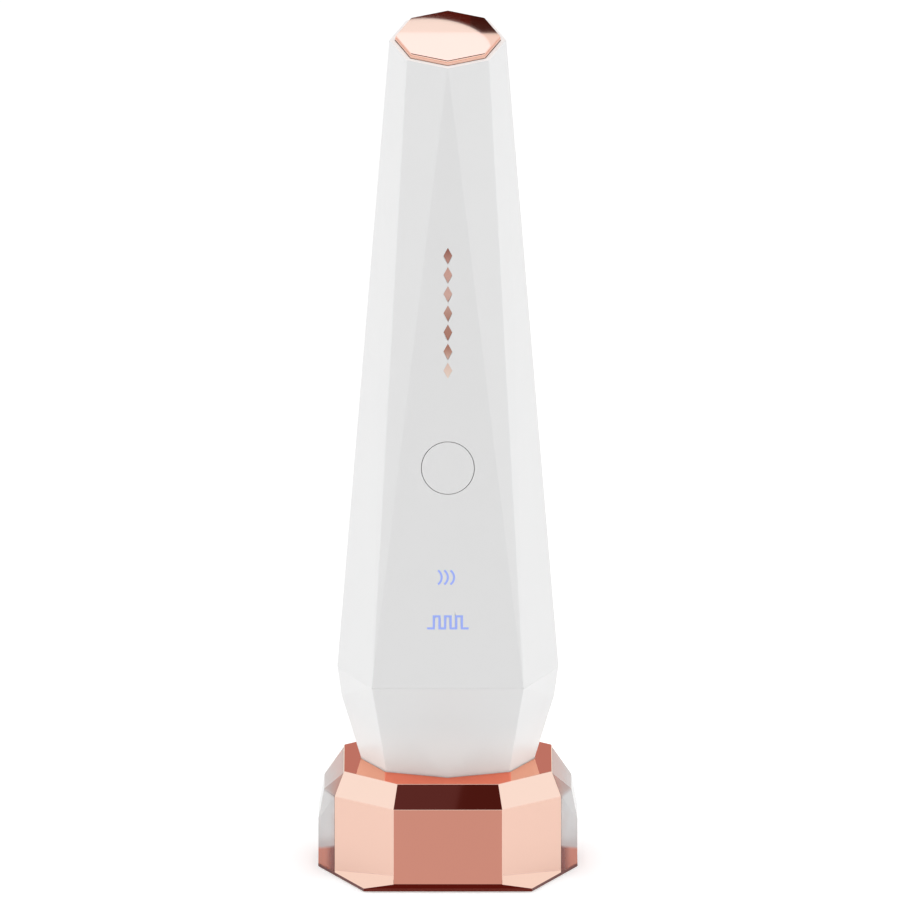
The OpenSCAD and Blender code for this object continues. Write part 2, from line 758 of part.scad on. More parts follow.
module button_cap() color("whitesmoke") on_front(button_s) {
    translate([0, 0, -flange_low]) cylinder(r = button_r, h = flange_low, $fn = 64);
    translate([0, 0, -flange_low]) cylinder(r = button_r + flange_w, h = flange_t, $fn = 64);
    translate([0, 0, -plunger_top]) cylinder(r = plunger_r, h = plunger_top - flange_low + eps, $fn = 32);
}

module switch_plunger() color("black") on_front(button_s)
    translate([0, 0, -plunger_top - plunger_out - plunger_in])
        cylinder(r = plunger_r, h = plunger_out + plunger_in, $fn = 32);

/* ---------- Dock ---------- */

// The dock's walls and top, moved in by t
module dock_form(t) hull() {
    slab(plate_top_z) polygon(dock_in(t));
    slab(shoulder_h) polygon(dock_in(t));
    slab(dock_h - eps) polygon(dock_top_in(t));
}

// The space that the handset's foot takes, grown by g
module seat_space(g, low_z) hull() {
    slab(low_z) circle(r = foot_ring_r + g, $fn = turn);
    slab(dock_h) circle(r = seat_r + g, $fn = turn);
    slab(dock_h + 1) circle(r = seat_r + g + foot_taper / foot_sink, $fn = turn);
}

module dock_screw_places() for (x = [-1, 1], y = [-1, 1])
    translate([x * dock_boss_x, y * dock_boss_y, 0]) children();

// The power socket's outline, l long, grown by g
module socket_form(l, g) rotate([90, 0, 0]) translate([0, 0, -l / 2]) linear_extrude(l) {
    r = socket_h / 2;
    for (x = [-1, 1]) translate([x * (socket_w / 2 - r), 0]) circle(r = r + g, $fn = 32);
    square([socket_w - 2 * r, socket_h + 2 * g], center = true);
}

module dock_shell() color("#d08c78") {
    difference() {
        dock_form(0);
        intersection() {
            dock_form(dock_wall);
            below(dock_roof_z);
        }
        seat_space(seat_gap, foot_z);
        translate([0, socket_y, socket_z]) socket_form(3 * dock_wall, socket_hole_gap);
    }
    // Bosses for the screws from below
    difference() {
        dock_screw_places() translate([0, 0, step_top_z + snug])
            cylinder(r = dock_boss_r, h = dock_roof_z - step_top_z, $fn = 24);
        seat_space(seat_gap + cup_wall + 2 * snug, foot_z);
        dock_screw_places() translate([0, 0, step_top_z - 1])
            cylinder(r = screw_r, h = dock_hole_l + 1, $fn = 24);
    }
}

module foot_places() for (x = [-1, 1], y = [-1, 1])
    translate([x * base_front_w * foot_share, y * (base_d / 2 - foot_r - foot_inset), 0]) children();

// Plate with a step that locates the dock's shell
module base_plate() color("#c98471") difference() {
    union() {
        translate([0, 0, foot_h]) linear_extrude(base_t)
            polygon(octo(base_w, base_d, base_front_w, base_side_l));
        translate([0, 0, plate_top_z - eps]) linear_extrude(base_step + eps)
            polygon(dock_in(dock_wall + snug));
    }
    dock_screw_places() {
        cylinder(r = screw_r + screw_slack, h = far, $fn = 24);
        translate([0, 0, foot_h - 1])
            cylinder(r = screw_head_r + screw_slack, h = 1 + screw_head_t, $fn = 32);
    }
    foot_places() translate([0, 0, foot_h - 1]) cylinder(r = foot_r + snug, h = 1 + foot_sunk, $fn = 32);
}

module foot_pads() color("gray") foot_places() cylinder(r = foot_r, h = foot_h + foot_sunk, $fn = 32);

module dock_screws() color("silver") dock_screw_places() translate([0, 0, foot_h + screw_head_t])
    mirror([0, 0, 1]) screw(dock_screw_l);

// Clear block beside the dock's shell; side is -1 for the left one and 1 for the right one
module crystal(side) color([0.9, 0.92, 0.94, 0.5]) difference() {
    hull() for (y = [-1, 1]) {
        corner = [for (p = [
            [dock_w / 2, dock_side_l / 2, plate_top_z + eps],
            [dock_w / 2, dock_side_l / 2, shoulder_h],
            [dock_w / 2 - dock_lean, (dock_side_l - lean_edge * dock_lean) / 2, crystal_top_z],
            [crystal_x, base_side_l / 2, plate_top_z + eps],
            [crystal_x, base_side_l / 2, crystal_edge_h],
            [crystal_x - crystal_lean, base_side_l / 2, shoulder_h],
            [dock_w / 2 - dock_lean - crystal_bite, dock_side_l / 2 - crystal_bite, plate_top_z + eps]
        ]) [side * p[0], y * p[1], p[2]]];
        for (p = corner) translate(p) cube(2 * eps, center = true);
    }
    dock_form(-snug / 2);
}
module crystal_left() crystal(-1);
module crystal_right() crystal(1);

// Cup that takes the handset's foot, with a flange that fills the dock under its top
module seat_cup() color("dimgray") difference() {
    union() {
        intersection() {
            seat_space(seat_gap + cup_wall, cup_low_z);
            translate([-far / 2, -far / 2, cup_low_z]) cube([far, far, dock_roof_z - snug - cup_low_z]);
        }
        intersection() {
            translate([-far / 2, -far / 2, dock_roof_z - snug - cup_flange_t])
                cube([far, far, cup_flange_t]);
            dock_form(dock_wall + 4 * snug);
        }
    }
    difference() {
        seat_space(seat_gap, foot_z);
        below(cup_floor_z);
    }
    translate([0, 0, cup_floor_z]) linear_extrude(1) circle(r = foot_ring_r + seat_gap, $fn = turn);
    charge_pad_places() cylinder(r = pin_r + pin_gap + 2 * snug, h = far, $fn = 24);
    dock_screw_places() cylinder(r = dock_boss_r + 2 * snug, h = far, $fn = 24);
}

module pin_block() color("black") difference() {
    translate([-block_w / 2, -block_d / 2, dock_board_top])
        cube([block_w, block_d, block_top - dock_board_top]);
    charge_pad_places() {
        cylinder(r = pin_r + pin_gap, h = far, $fn = 24);
        translate([0, 0, dock_board_top + block_floor])
            cylinder(r = pin_flange_r + pin_gap, h = pin_shoulder_z - dock_board_top - block_floor, $fn = 24);
    }
}

// Spring pin at x: its tip, the flange that stops it, and its tail
module pin(x) color("goldenrod") translate([x, 0, 0]) {
    flange_z = pin_shoulder_z - snug - pin_flange_t;
    tail_z = dock_board_top + block_floor + pin_travel + pin_tail_gap;
    translate([0, 0, flange_z]) cylinder(r = pin_r, h = pin_tip_z - flange_z, $fn = 32);
    translate([0, 0, flange_z]) cylinder(r = pin_flange_r, h = pin_flange_t, $fn = 32);
    translate([0, 0, tail_z]) cylinder(r = pin_tail_r, h = flange_z - tail_z + eps, $fn = 32);
}
module pin_left() pin(-pad_pitch / 2);
module pin_right() pin(pad_pitch / 2);

module dock_board() color("seagreen") translate([-dock_board_w / 2, -dock_board_front, step_top_z])
    cube([dock_board_w, dock_board_front + dock_d / 2 - dock_wall - dock_board_gap, dock_board_t]);

module power_socket() color("silver") translate([0, socket_y - socket_l / 2, socket_z]) difference() {
    socket_form(socket_l, 0);
    translate([0, socket_back_t, 0]) socket_form(socket_l, -socket_wall);
}

module socket_tongue() color("black")
    translate([-tongue_w / 2, socket_y - socket_l + socket_back_t, socket_z - tongue_t / 2])
        cube([tongue_w, socket_l - socket_back_t - tongue_in, tongue_t]);

// Steel weights either side of the board
module ballast() color("slategray") intersection() {
    for (x = [-1, 1]) translate([x * (ballast_in + far / 2) - far / 2, -ballast_y, step_top_z])
        cube([far, 2 * ballast_y, ballast_top - step_top_z]);
    dock_form(dock_wall + ballast_gap);
}

front_shell();
rear_shell();
bottom_cap();
seam_gasket();
head_carrier();
ring_electrode();
plate_electrode();
skin_sensor();
inner_frame();
frame_screws();
main_board();
board_parts();
rf_transformer();
tact_switch();
mode_leds();
wave_light();
pulse_light();
inlay();
battery_cell();
battery_foam();
electrode_leads();
charge_leads();
charge_pads();
cap_screws();
button_cap();
switch_plunger();
dock_shell();
base_plate();
crystal_left();
crystal_right();
seat_cup();
pin_block();
dock_board();
power_socket();
socket_tongue();
ballast();
foot_pads();
dock_screws();
pin_left();
pin_right();
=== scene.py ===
"""Finishes for a faceted facial toning handset and its charging dock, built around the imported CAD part."""
import json
import math

import bmesh
import bpy
from bpy.props import FloatProperty, FloatVectorProperty, PointerProperty
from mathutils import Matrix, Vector


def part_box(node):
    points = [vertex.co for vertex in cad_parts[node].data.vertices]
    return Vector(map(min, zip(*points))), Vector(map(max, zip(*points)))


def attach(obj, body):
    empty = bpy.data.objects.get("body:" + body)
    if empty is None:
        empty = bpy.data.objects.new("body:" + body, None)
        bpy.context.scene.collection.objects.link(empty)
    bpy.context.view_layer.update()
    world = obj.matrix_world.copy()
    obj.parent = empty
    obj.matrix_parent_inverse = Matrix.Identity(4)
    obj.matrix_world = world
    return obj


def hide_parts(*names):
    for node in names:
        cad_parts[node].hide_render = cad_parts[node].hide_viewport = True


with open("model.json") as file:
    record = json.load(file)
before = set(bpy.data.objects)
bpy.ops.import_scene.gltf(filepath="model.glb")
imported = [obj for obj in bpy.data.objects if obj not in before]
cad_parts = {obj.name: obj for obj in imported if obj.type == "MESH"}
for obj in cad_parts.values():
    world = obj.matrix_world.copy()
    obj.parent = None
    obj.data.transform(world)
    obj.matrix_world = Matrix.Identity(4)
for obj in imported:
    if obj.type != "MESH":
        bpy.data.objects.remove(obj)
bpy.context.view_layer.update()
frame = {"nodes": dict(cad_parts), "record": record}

bl_info = {
    "name": "Facial Toning Handset",
    "version": (1, 0, 0),
    "blender": (4, 5, 0),
    "location": "3D View > Sidebar > Toner",
    "description": "Finishes, lights and camera for a facial toning handset in its charging dock",
    "category": "Object",
}

MM = 0.001
RECORD = frame["record"]
BODY_OF = {node: body for body, nodes in RECORD["behaviour"]["bodies"].items() for node in nodes}


# ---------- Sizes and colours that a user would change ----------

def colour(name, description, default):
    return FloatVectorProperty(name=name, description=description, default=default, size=3,
                               min=0.0, max=1.0, subtype="COLOR")


def number(name, description, default, low=0.0, **more):
    return FloatProperty(name=name, description=description, default=default, min=low, **more)


def length(name, description, default):
    return number(name, description, default, unit="LENGTH", subtype="DISTANCE", precision=5)


def power(name, description, default):
    return number(name, description, default, unit="POWER", subtype="POWER")


def share(name, description, default):
    return number(name, description, default, max=1.0, subtype="FACTOR")


class ShellFinish(bpy.types.PropertyGroup):
    white: colour("White", "Colour of the moulded shells", (0.835, 0.835, 0.835))
    # Painted light: the rim white paints the shells' upward faces paler and warmer, as if lit from above
    lit_top_white: colour("Lit top white", "Colour of the rim round the treatment plate", (1.0, 0.965, 0.95))
    # Painted light: the cap white is a lighter copy of the shells' white, for the bottom cap
    lit_cap_white: colour("Lit cap white", "Colour of the bottom cap", (0.875, 0.875, 0.875))
    # Painted light: these two paint the bottom cap paler and warmer over a height next to the dock
    painted_foot_light: colour("Painted foot light", "Colour of the bottom cap next to the dock", (0.99, 0.955, 0.94))
    painted_light_fade: length("Painted light fade", "Height over which the cap turns to the foot's white", 14 * MM)
    roughness: share("Roughness", "Blur of the shells' reflections", 0.34)
    facet_radius: length("Facet radius", "Rounding of the edges between facets", 0.22 * MM)
    joint_radius: length("Joint radius", "Rounding where two shells meet", 0.07 * MM)


class MetalFinish(bpy.types.PropertyGroup):
    rose_gold: colour("Rose gold", "Colour of the plating", (0.93, 0.62, 0.51))
    roughness: share("Roughness", "Blur of the plating's reflections", 0.015)
    edge_radius: length("Edge radius", "Rounding of the dock's edges", 0.1 * MM)
    low_tint: colour("Low tint", "Tint of the dock's reflections at a low angle", (0.91, 0.836, 0.74))
    pale_gold: colour("Pale gold", "Colour of the base plate's plating", (0.97, 0.88, 0.84))
    # Painted reflection: the two copper tones paint the dock's level top, and deeper still its front part,
    # with the deep rose that it reflects
    painted_top_reflection: colour("Painted top reflection", "Colour of the dock's level top", (1.0, 0.367, 0.23))
    painted_front_reflection: colour("Painted front reflection", "Colour of the level top's front part", (1.0, 0.15, 0.052))
    # Painted glow: light given off by the level top's front part, which is no lamp
    painted_front_glow: colour("Painted front glow", "Light added to the level top's front part", (0.09, 0.004, 0.0))
    thrown: colour("Thrown light", "Tint of the light that the dock throws around it", (0.96, 0.92, 0.9))
    # Painted dark reflection on the base plate's upright edge
    painted_edge_reflection: colour("Painted edge reflection", "Colour of the base plate's edge", (0.14, 0.025, 0.018))
    # Painted dark reflection on the treatment plate's chamfers that look forward
    painted_chamfer_reflection: colour("Painted chamfer reflection", "Colour of the treatment plate's front chamfers", (0.06, 0.02, 0.012))
    front_half: length("Front half", "Half the width of the level top's front part", 13.9 * MM)
    plate_roughness: share("Plate roughness", "Blur of the treatment plate's reflections", 0.02)


class CrystalFinish(bpy.types.PropertyGroup):
    tint: colour("Tint", "Colour of the clear blocks", (0.95, 0.94, 0.94))
    # Painted reflection and shade: the colours below paint the dock's rose reflection on the blocks' sloped
    # tops, inner sides and feet, and painted dark shade on the feet next to the wall
    top: colour("Top", "Colour of the blocks' sloped tops", (0.66, 0.50, 0.46))
    blush: colour("Blush", "Colour near the dock's wall", (0.72, 0.33, 0.24))
    foot: colour("Foot", "Colour at the blocks' feet", (0.92, 0.28, 0.17))
    deep: colour("Deep", "Colour of the feet next to the dock's wall", (0.32, 0.03, 0.01))
    clearness: share("Clearness", "Share of the light that passes through", 0.45)
    ior: number("IOR", "Index of refraction of the clear blocks", 1.49, low=1.0, max=2.5)
    edge_radius: length("Edge radius", "Rounding of the blocks' edges", 0.12 * MM)


class LightFinish(bpy.types.PropertyGroup):
    glow: colour("Glow", "Colour of the light from the signs", (0.22, 0.28, 0.56))
    window: colour("Window", "Colour of the signs' windows", (0.12, 0.16, 0.40))
    strength: number("Strength", "Strength of the lit signs", 1.0, max=20.0)


class StageSetup(bpy.types.PropertyGroup):
    distance: length("Camera distance", "From the camera to the middle of the handset", 8.0)
    elevation: number("Elevation", "How far the camera looks down", math.radians(12.6),
                      subtype="ANGLE", unit="ROTATION")
    view_width: length("View width", "Width of the view at the handset", 198.14 * MM)
    aim_x: length("Aim to the right", "Where the camera aims, right of the handset's middle", 0.47 * MM)
    aim_z: length("Aim height", "Where the camera aims, above the floor", 92.72 * MM)
    ambient: number("Ambient", "Strength of the light from all round", 0.68)
    side_light: power("Side light", "Power of each side lamp", 7.3)
    top_light: power("Top light", "Power of the lamp overhead", 4.0)
    lamp_size: length("Lamp size", "Width of each lamp", 1.2)
    floor_half: length("Floor", "Half the width of the floor", 2.5)
    floor_lift: number("Floor lift", "Light added to the floor where the camera sees it", 0.3)
    floor_glow: number("Floor glow", "Light added to the floor where a surface reflects it", 0.15)


class CardTones(bpy.types.PropertyGroup):
    dark_left: colour("Dark left", "Left card in front, and the card behind", (0.11, 0.034, 0.033))
    dark_right: colour("Dark right", "Right card in front", (0.076, 0.014, 0.011))
    rose_grey: colour("Rose grey", "Low card behind, for the dock's level top", (0.56, 0.374, 0.399))
    bright: colour("Bright", "Cards at the sides, for the corner bevels", (0.87, 0.97, 1.0))
    warm: colour("Warm", "Cards on the floor, for the front wall and the rear wall", (0.66, 0.42, 0.38))
    brown: colour("Brown", "Cards at the wall's foot, for the base plate's front strip", (0.10, 0.008, 0.005))
    head_dark_left: colour("Head dark left", "Left dark card over the head", (0.088, 0.011, 0.007))
    head_dark_right: colour("Head dark right", "Right dark card over the head", (0.05, 0.01, 0.007))
    head_upper: colour("Head upper", "Upper part of the bright disc over the head", (0.86, 0.96, 1.0))
    head_lower: colour("Head lower", "Lower part of the bright disc over the head", (0.88, 0.92, 1.0))


# ---------- Meshes ----------

WELD = 0.015 * MM                 # corners this near are one
OVERSHOOT = 0.02 * MM             # how far a rounded piece may reach out of its node's box
NEAR = 0.02 * MM                  # how far an edge may lie off a level
SHARE_CORNER = 0.8 * MM           # faces whose corners are this near are shaded as one
RIM_DEPTH = 4 * MM                # from the treatment plate's foot down to below the shells' rim
PLATE_RIM = 10 * MM               # the plate's rim lies outside this radius
SLIT_LEFT = 0.004 * MM            # what is left of the slit under the plate's rim
CAP_FACE = 40 * MM * MM           # the cap's front faces are larger than this
FLAT_ANGLE = math.radians(0.3)    # faces that turn by less are one
SHARP_ANGLE = math.radians(5)     # edges that turn by more are rounded


def whole_faces(node):
    """A bmesh of a CAD node, with its corners welded and its flat faces in one piece."""
    bm = bmesh.new()
    bm.from_mesh(frame["nodes"][node].data)
    bmesh.ops.remove_doubles(bm, verts=bm.verts, dist=WELD)
    bmesh.ops.dissolve_limit(bm, angle_limit=FLAT_ANGLE, verts=bm.verts, edges=bm.edges)
    bmesh.ops.recalc_face_normals(bm, faces=bm.faces)
    return bm


def middle(bm):
    """The middle of a bmesh's box."""
    low = Vector([min(v.co[i] for v in bm.verts) for i in range(3)])
    high = Vector([max(v.co[i] for v in bm.verts) for i in range(3)])
    return (low + high) / 2


def is_outer(edge, centre, shortest):
    """True for a long sharp convex edge between two faces that look away from the centre."""
    if len(edge.link_faces) != 2 or edge.calc_length() < shortest:
        return False
    if edge.calc_face_angle_signed(0.0) < SHARP_ANGLE:
        return False
    return all((face.calc_center_median() - centre).dot(face.normal) > 0 for face in edge.link_faces)


def add_piece(name, mesh, node, material):
    """A finished piece that stands for a CAD node and moves with it."""
    piece = bpy.data.objects.new(name, mesh)
    bpy.context.scene.collection.objects.link(piece)
    mesh.materials.clear()
    mesh.materials.append(material)
    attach(piece, BODY_OF[node])
    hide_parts(node)
    return piece


def soften(node, radius_of, material, shortest=2 * MM, segments=3):
    """A copy of a CAD node with rounded outer edges. radius_of(edge) gives an edge's radius, or 0."""
    bm = whole_faces(node)
    centre = middle(bm)
    weight = bm.edges.layers.float.new("bevel_weight_edge")
    radii = {}
    for edge in bm.edges:
        if is_outer(edge, centre, shortest):
            radii[edge.index] = radius_of(edge)
            edge[weight] = radii[edge.index]
    widest = max(radii.values(), default=0)
    if widest <= 0:
        raise RuntimeError(f"{node} has no edge to round")
    for edge in bm.edges:
        edge[weight] = edge[weight] / widest
    mesh = bpy.data.meshes.new(node + "_rounded")
    bm.to_mesh(mesh)
    bm.free()
    piece = add_piece(node + ".finished", mesh, node, material)
    bevel = piece.modifiers.new("Rounding", "BEVEL")
    bevel.limit_method = "WEIGHT"
    bevel.width = widest
    bevel.segments = segments
    bevel.use_clamp_overlap = False
    bevel.harden_normals = True
    apply_modifiers(piece)
    low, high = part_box(node)
    if any(not low[i] - OVERSHOOT < vertex.co[i] < high[i] + OVERSHOOT
           for vertex in piece.data.vertices for i in range(3)):
        raise RuntimeError(f"the rounded {node} reaches out of its box")
    return piece


def apply_modifiers(piece):
    """Makes the piece's modifiers part of its mesh."""
    view = bpy.context.evaluated_depsgraph_get()
    mesh = bpy.data.meshes.new_from_object(piece.evaluated_get(view), preserve_all_data_layers=True,
                                           depsgraph=view)
    piece.modifiers.clear()
    piece.data = mesh


def smooth_across(piece, chosen):
    """Shades the chosen flat faces of a piece as one soft surface."""
    mesh = piece.data
    faces = [face for face in mesh.polygons if chosen(face)]
    if len(faces) < 2:
        raise RuntimeError(f"{piece.name} has no faces to shade as one")
    corners = {face.index: [mesh.vertices[v].co for v in face.vertices] for face in faces}
    normals = [Vector(corner.vector) for corner in mesh.corner_normals]
    for face in faces:
        for loop in face.loop_indices:
            spot = mesh.vertices[mesh.loops[loop].vertex_index].co
            near = [other.normal for other in faces
                    if min((corner - spot).length for corner in corners[other.index]) < SHARE_CORNER]
            normals[loop] = sum(near, Vector()).normalized()
    mesh.normals_split_custom_set([tuple(normal) for normal in normals])


def on_cap_front(normal, place, area, seam_z):
    """True for the three broad faces that make the front of the bottom cap."""
    return normal.y < -0.75 and place.z < seam_z and area > CAP_FACE


def front_reach(node, y):
    """How far a CAD node reaches to the right in front of y."""
    return max(v.co.x for v in frame["nodes"][node].data.vertices if v.co.y < y)


def dress(node, material):
    """Gives a CAD node that keeps its own shape its finish."""
    slots = frame["nodes"][node].material_slots
    if not slots:
        frame["nodes"][node].data.materials.append(material)
    for slot in slots:
        slot.material = material


# ---------- Shader groups ----------

LIGHT = (0.8, 0.8, 0.8, 1)
BLACK = (0, 0, 0, 1)


def rgba(rgb):
    return (*rgb, 1.0)


def shader_group(name, inputs, outputs):
    """Wraps a function that fills a shader group, so that the group is built once and then shared."""
    def wrap(fill):
        def get():
            if name in bpy.data.node_groups:
                return bpy.data.node_groups[name]
            tree = bpy.data.node_groups.new(name, "ShaderNodeTree")
            for label, default in inputs.items():
                kind = "NodeSocketColor" if isinstance(default, tuple) else "NodeSocketFloat"
                tree.interface.new_socket(label, in_out="INPUT", socket_type=kind).default_value = default
            for label, kind in outputs.items():
                tree.interface.new_socket(label, in_out="OUTPUT", socket_type="NodeSocket" + kind)
            fill(tree, tree.nodes.new("NodeGroupInput").outputs, tree.nodes.new("NodeGroupOutput").inputs)
            return tree
        return get
    return wrap


def feed(tree, value, socket):
    """Links a socket to another, or sets it to a fixed value."""
    if isinstance(value, bpy.types.NodeSocket):
        tree.links.new(value, socket)
    else:
        socket.default_value = value


def calc(tree, operation, *values):
    """A Math node of sockets or numbers."""
    node = tree.nodes.new("ShaderNodeMath")
    node.operation = operation
    for value, socket in zip(values, node.inputs):
        feed(tree, value, socket)
    return node.outputs[0]


def noise(tree, scale, detail=3.0):
    """Noise over the object's own coordinates."""
    place = tree.nodes.new("ShaderNodeTexCoord")
    node = tree.nodes.new("ShaderNodeTexNoise")
    tree.links.new(place.outputs["Object"], node.inputs["Vector"])
    feed(tree, scale, node.inputs["Scale"])
    feed(tree, detail, node.inputs["Detail"])
    return node.outputs["Fac"]


def object_axis(tree, axis, output="Object"):
    """One of the object's own coordinates, in metres."""
    place = tree.nodes.new("ShaderNodeTexCoord")
    split = tree.nodes.new("ShaderNodeSeparateXYZ")
    tree.links.new(place.outputs[output], split.inputs[0])
    return split.outputs[axis]


def facing(tree, axis):
    """How much a surface looks along one of the object's own axes."""
    return object_axis(tree, axis, "Normal")


def ramp_mask(tree, value, start, end, smooth=True):
    """0 where the value is at start, 1 at end, and a slope between."""
    node = tree.nodes.new("ShaderNodeMapRange")
    node.interpolation_type = "SMOOTHSTEP" if smooth else "LINEAR"
    feed(tree, value, node.inputs["Value"])
    feed(tree, start, node.inputs["From Min"])
    feed(tree, end, node.inputs["From Max"])
    return node.outputs["Result"]


def blend(tree, factor, first, second):
    """A blend of two colours."""
    mix = tree.nodes.new("ShaderNodeMix")
    mix.data_type = "RGBA"
    feed(tree, factor, mix.inputs["Factor"])
    feed(tree, first, mix.inputs["A"])
    feed(tree, second, mix.inputs["B"])
    return mix.outputs["Result"]


@shader_group("Moulded Grain", {"Scale": 4000.0, "Roughness": 0.4, "Drift": 0.04},
              {"Height": "Float", "Roughness": "Float"})
def grain_group(tree, given, result):
    """Fine moulded grain: a height, and a roughness that drifts a little."""
    tree.links.new(noise(tree, given["Scale"]), result["Height"])
    swing = calc(tree, "MULTIPLY", calc(tree, "SUBTRACT", noise(tree, 60.0, 2.0), 0.5), given["Drift"])
    tree.links.new(calc(tree, "ADD", given["Roughness"], swing), result["Roughness"])


@shader_group("Tone Drift", {"Colour": LIGHT, "Second Colour": LIGHT, "Scale": 90.0, "Amount": 0.3},
              {"Colour": "Color"})
def tone_group(tree, given, result):
    """Tone that drifts a little over the surface, towards a second colour."""
    amount = calc(tree, "MULTIPLY", noise(tree, given["Scale"], 2.0), given["Amount"])
    tree.links.new(blend(tree, amount, given["Colour"], given["Second Colour"]), result["Colour"])


@shader_group("Facing Tone", {"Colour": LIGHT, "Second": LIGHT, "Low": 0.0, "High": 1.0, "Front": -2.0},
              {"Colour": "Color"})
def facing_tone_group(tree, given, result):
    """A painted second tone, for painted light and painted reflections, on faces that look up by between Low
    and High, and forward by at least Front.
    """
    up = facing(tree, "Z")
    above = calc(tree, "GREATER_THAN", up, given["Low"])
    below = calc(tree, "LESS_THAN", up, given["High"])
    forward = calc(tree, "GREATER_THAN", calc(tree, "MULTIPLY", facing(tree, "Y"), -1.0), given["Front"])
    mask = calc(tree, "MULTIPLY", calc(tree, "MULTIPLY", above, below), forward)
    tree.links.new(blend(tree, mask, given["Colour"], given["Second"]), result["Colour"])


@shader_group("Dock Painted Reflection",
              {"Colour": LIGHT, "Top": LIGHT, "Front": LIGHT, "Warm": BLACK, "Front Half": 14 * MM},
              {"Colour": "Color", "Glow": "Color"})
def dock_reflection_group(tree, given, result):
    """Painted reflection on the plating: a deeper colour on the level top, and a deeper one again, with a
    painted warm glow, on its front part.
    """
    level = calc(tree, "GREATER_THAN", facing(tree, "Z"), 0.9)
    across = calc(tree, "ABSOLUTE", object_axis(tree, "X"))
    forward = calc(tree, "LESS_THAN", object_axis(tree, "Y"), 0.0)
    narrow = calc(tree, "MULTIPLY", calc(tree, "LESS_THAN", across, given["Front Half"]), forward)
    top = blend(tree, narrow, given["Top"], given["Front"])
    tree.links.new(blend(tree, level, given["Colour"], top), result["Colour"])
    warm = calc(tree, "MULTIPLY", level, narrow)
    tree.links.new(blend(tree, warm, BLACK, given["Warm"]), result["Glow"])


@shader_group("Height Tone", {"Colour": LIGHT, "Second": LIGHT, "Start": 1.0, "End": 0.0},
              {"Colour": "Color"})
def height_tone_group(tree, given, result):
    """A painted second tone, for painted light, that comes in between the heights Start and End."""
    mask = ramp_mask(tree, object_axis(tree, "Z"), given["Start"], given["End"])
    tree.links.new(blend(tree, mask, given["Colour"], given["Second"]), result["Colour"])


@shader_group("Crystal Painted Reflection", {"Colour": LIGHT, "Top": LIGHT, "Blush": LIGHT, "Foot": LIGHT, "Deep": LIGHT},
              {"Colour": "Color"})
def crystal_reflection_group(tree, given, result):
    """Clear block with painted reflection and shade: the wall's rose painted on its inner side, a pinker
    painted tone on its sloped top, a deeper rose painted at its foot, and painted dark shade at the foot next
    to the wall.
    """
    across = calc(tree, "ABSOLUTE", object_axis(tree, "X"))
    height = object_axis(tree, "Z")
    streaks = calc(tree, "MULTIPLY", calc(tree, "SUBTRACT", noise(tree, 260.0, 1.0), 0.5), 3 * MM)
    inward = ramp_mask(tree, calc(tree, "ADD", across, streaks), 26.8 * MM, 23.6 * MM)
    high = ramp_mask(tree, height, 17.2 * MM, 18.4 * MM)
    body = blend(tree, high, given["Colour"], given["Top"])
    # The painted wall reflection is stronger on the sloped top than on the side
    strength = calc(tree, "ADD", calc(tree, "MULTIPLY", high, 0.7), 0.3)
    body = blend(tree, calc(tree, "MULTIPLY", inward, strength), body, given["Blush"])
    # The foot's edge rises towards the wall
    slope = calc(tree, "MULTIPLY", calc(tree, "SUBTRACT", across, 28.5 * MM), 0.6)
    rise = calc(tree, "ADD", height, slope)
    shadow = calc(tree, "MULTIPLY", ramp_mask(tree, rise, 7.5 * MM, 5 * MM), 0.22)
    body = blend(tree, shadow, body, given["Deep"])
    foot = blend(tree, ramp_mask(tree, across, 27.4 * MM, 25.2 * MM), given["Foot"], given["Deep"])
    tree.links.new(blend(tree, ramp_mask(tree, rise, 5 * MM, 4 * MM), body, foot), result["Colour"])


FOIL_STOPS = (
    (0.0, (0.96, 0.80, 0.70)), (0.10, (0.88, 0.66, 0.56)), (0.24, (0.50, 0.24, 0.18)),
    (0.45, (0.52, 0.28, 0.22)), (0.64, (0.76, 0.50, 0.43)), (0.85, (0.72, 0.42, 0.35)),
    (1.0, (0.34, 0.13, 0.10)),
)


@shader_group("Foil Bands", {"Low": 0.0, "High": 1.0}, {"Colour": "Color"})
def foil_group(tree, given, result):
    """Foil whose tone runs in soft bands from its lower end to its upper end."""
    ramp = tree.nodes.new("ShaderNodeValToRGB")
    while len(ramp.color_ramp.elements) < len(FOIL_STOPS):
        ramp.color_ramp.elements.new(0.5)
    for element, (place, rgb) in zip(ramp.color_ramp.elements, FOIL_STOPS):
        element.position = place
        element.color = rgba(rgb)
    span = ramp_mask(tree, object_axis(tree, "Z"), given["Low"], given["High"], smooth=False)
    tree.links.new(span, ramp.inputs["Fac"])
    tree.links.new(ramp.outputs["Color"], result["Colour"])


def add_group(tree, group, **values):
    """A group node in a material, with its inputs set by name; spaces are written as _."""
    node = tree.nodes.new("ShaderNodeGroup")
    node.node_tree = group
    for label, value in values.items():
        node.inputs[label.replace("_", " ").title()].default_value = value
    return node


# ---------- Materials ----------

def shade(rgb, factor):
    return tuple(min(1.0, channel * factor) for channel in rgb)


def principled(material):
    return next(node for node in material.node_tree.nodes if node.type == "BSDF_PRINCIPLED")


def empty_material(name):
    """A material with only an output: the material, its node tree and the output's Surface socket."""
    material = bpy.data.materials.new(name)
    material.use_nodes = True
    tree = material.node_tree
    tree.nodes.clear()
    return material, tree, tree.nodes.new("ShaderNodeOutputMaterial").inputs["Surface"]


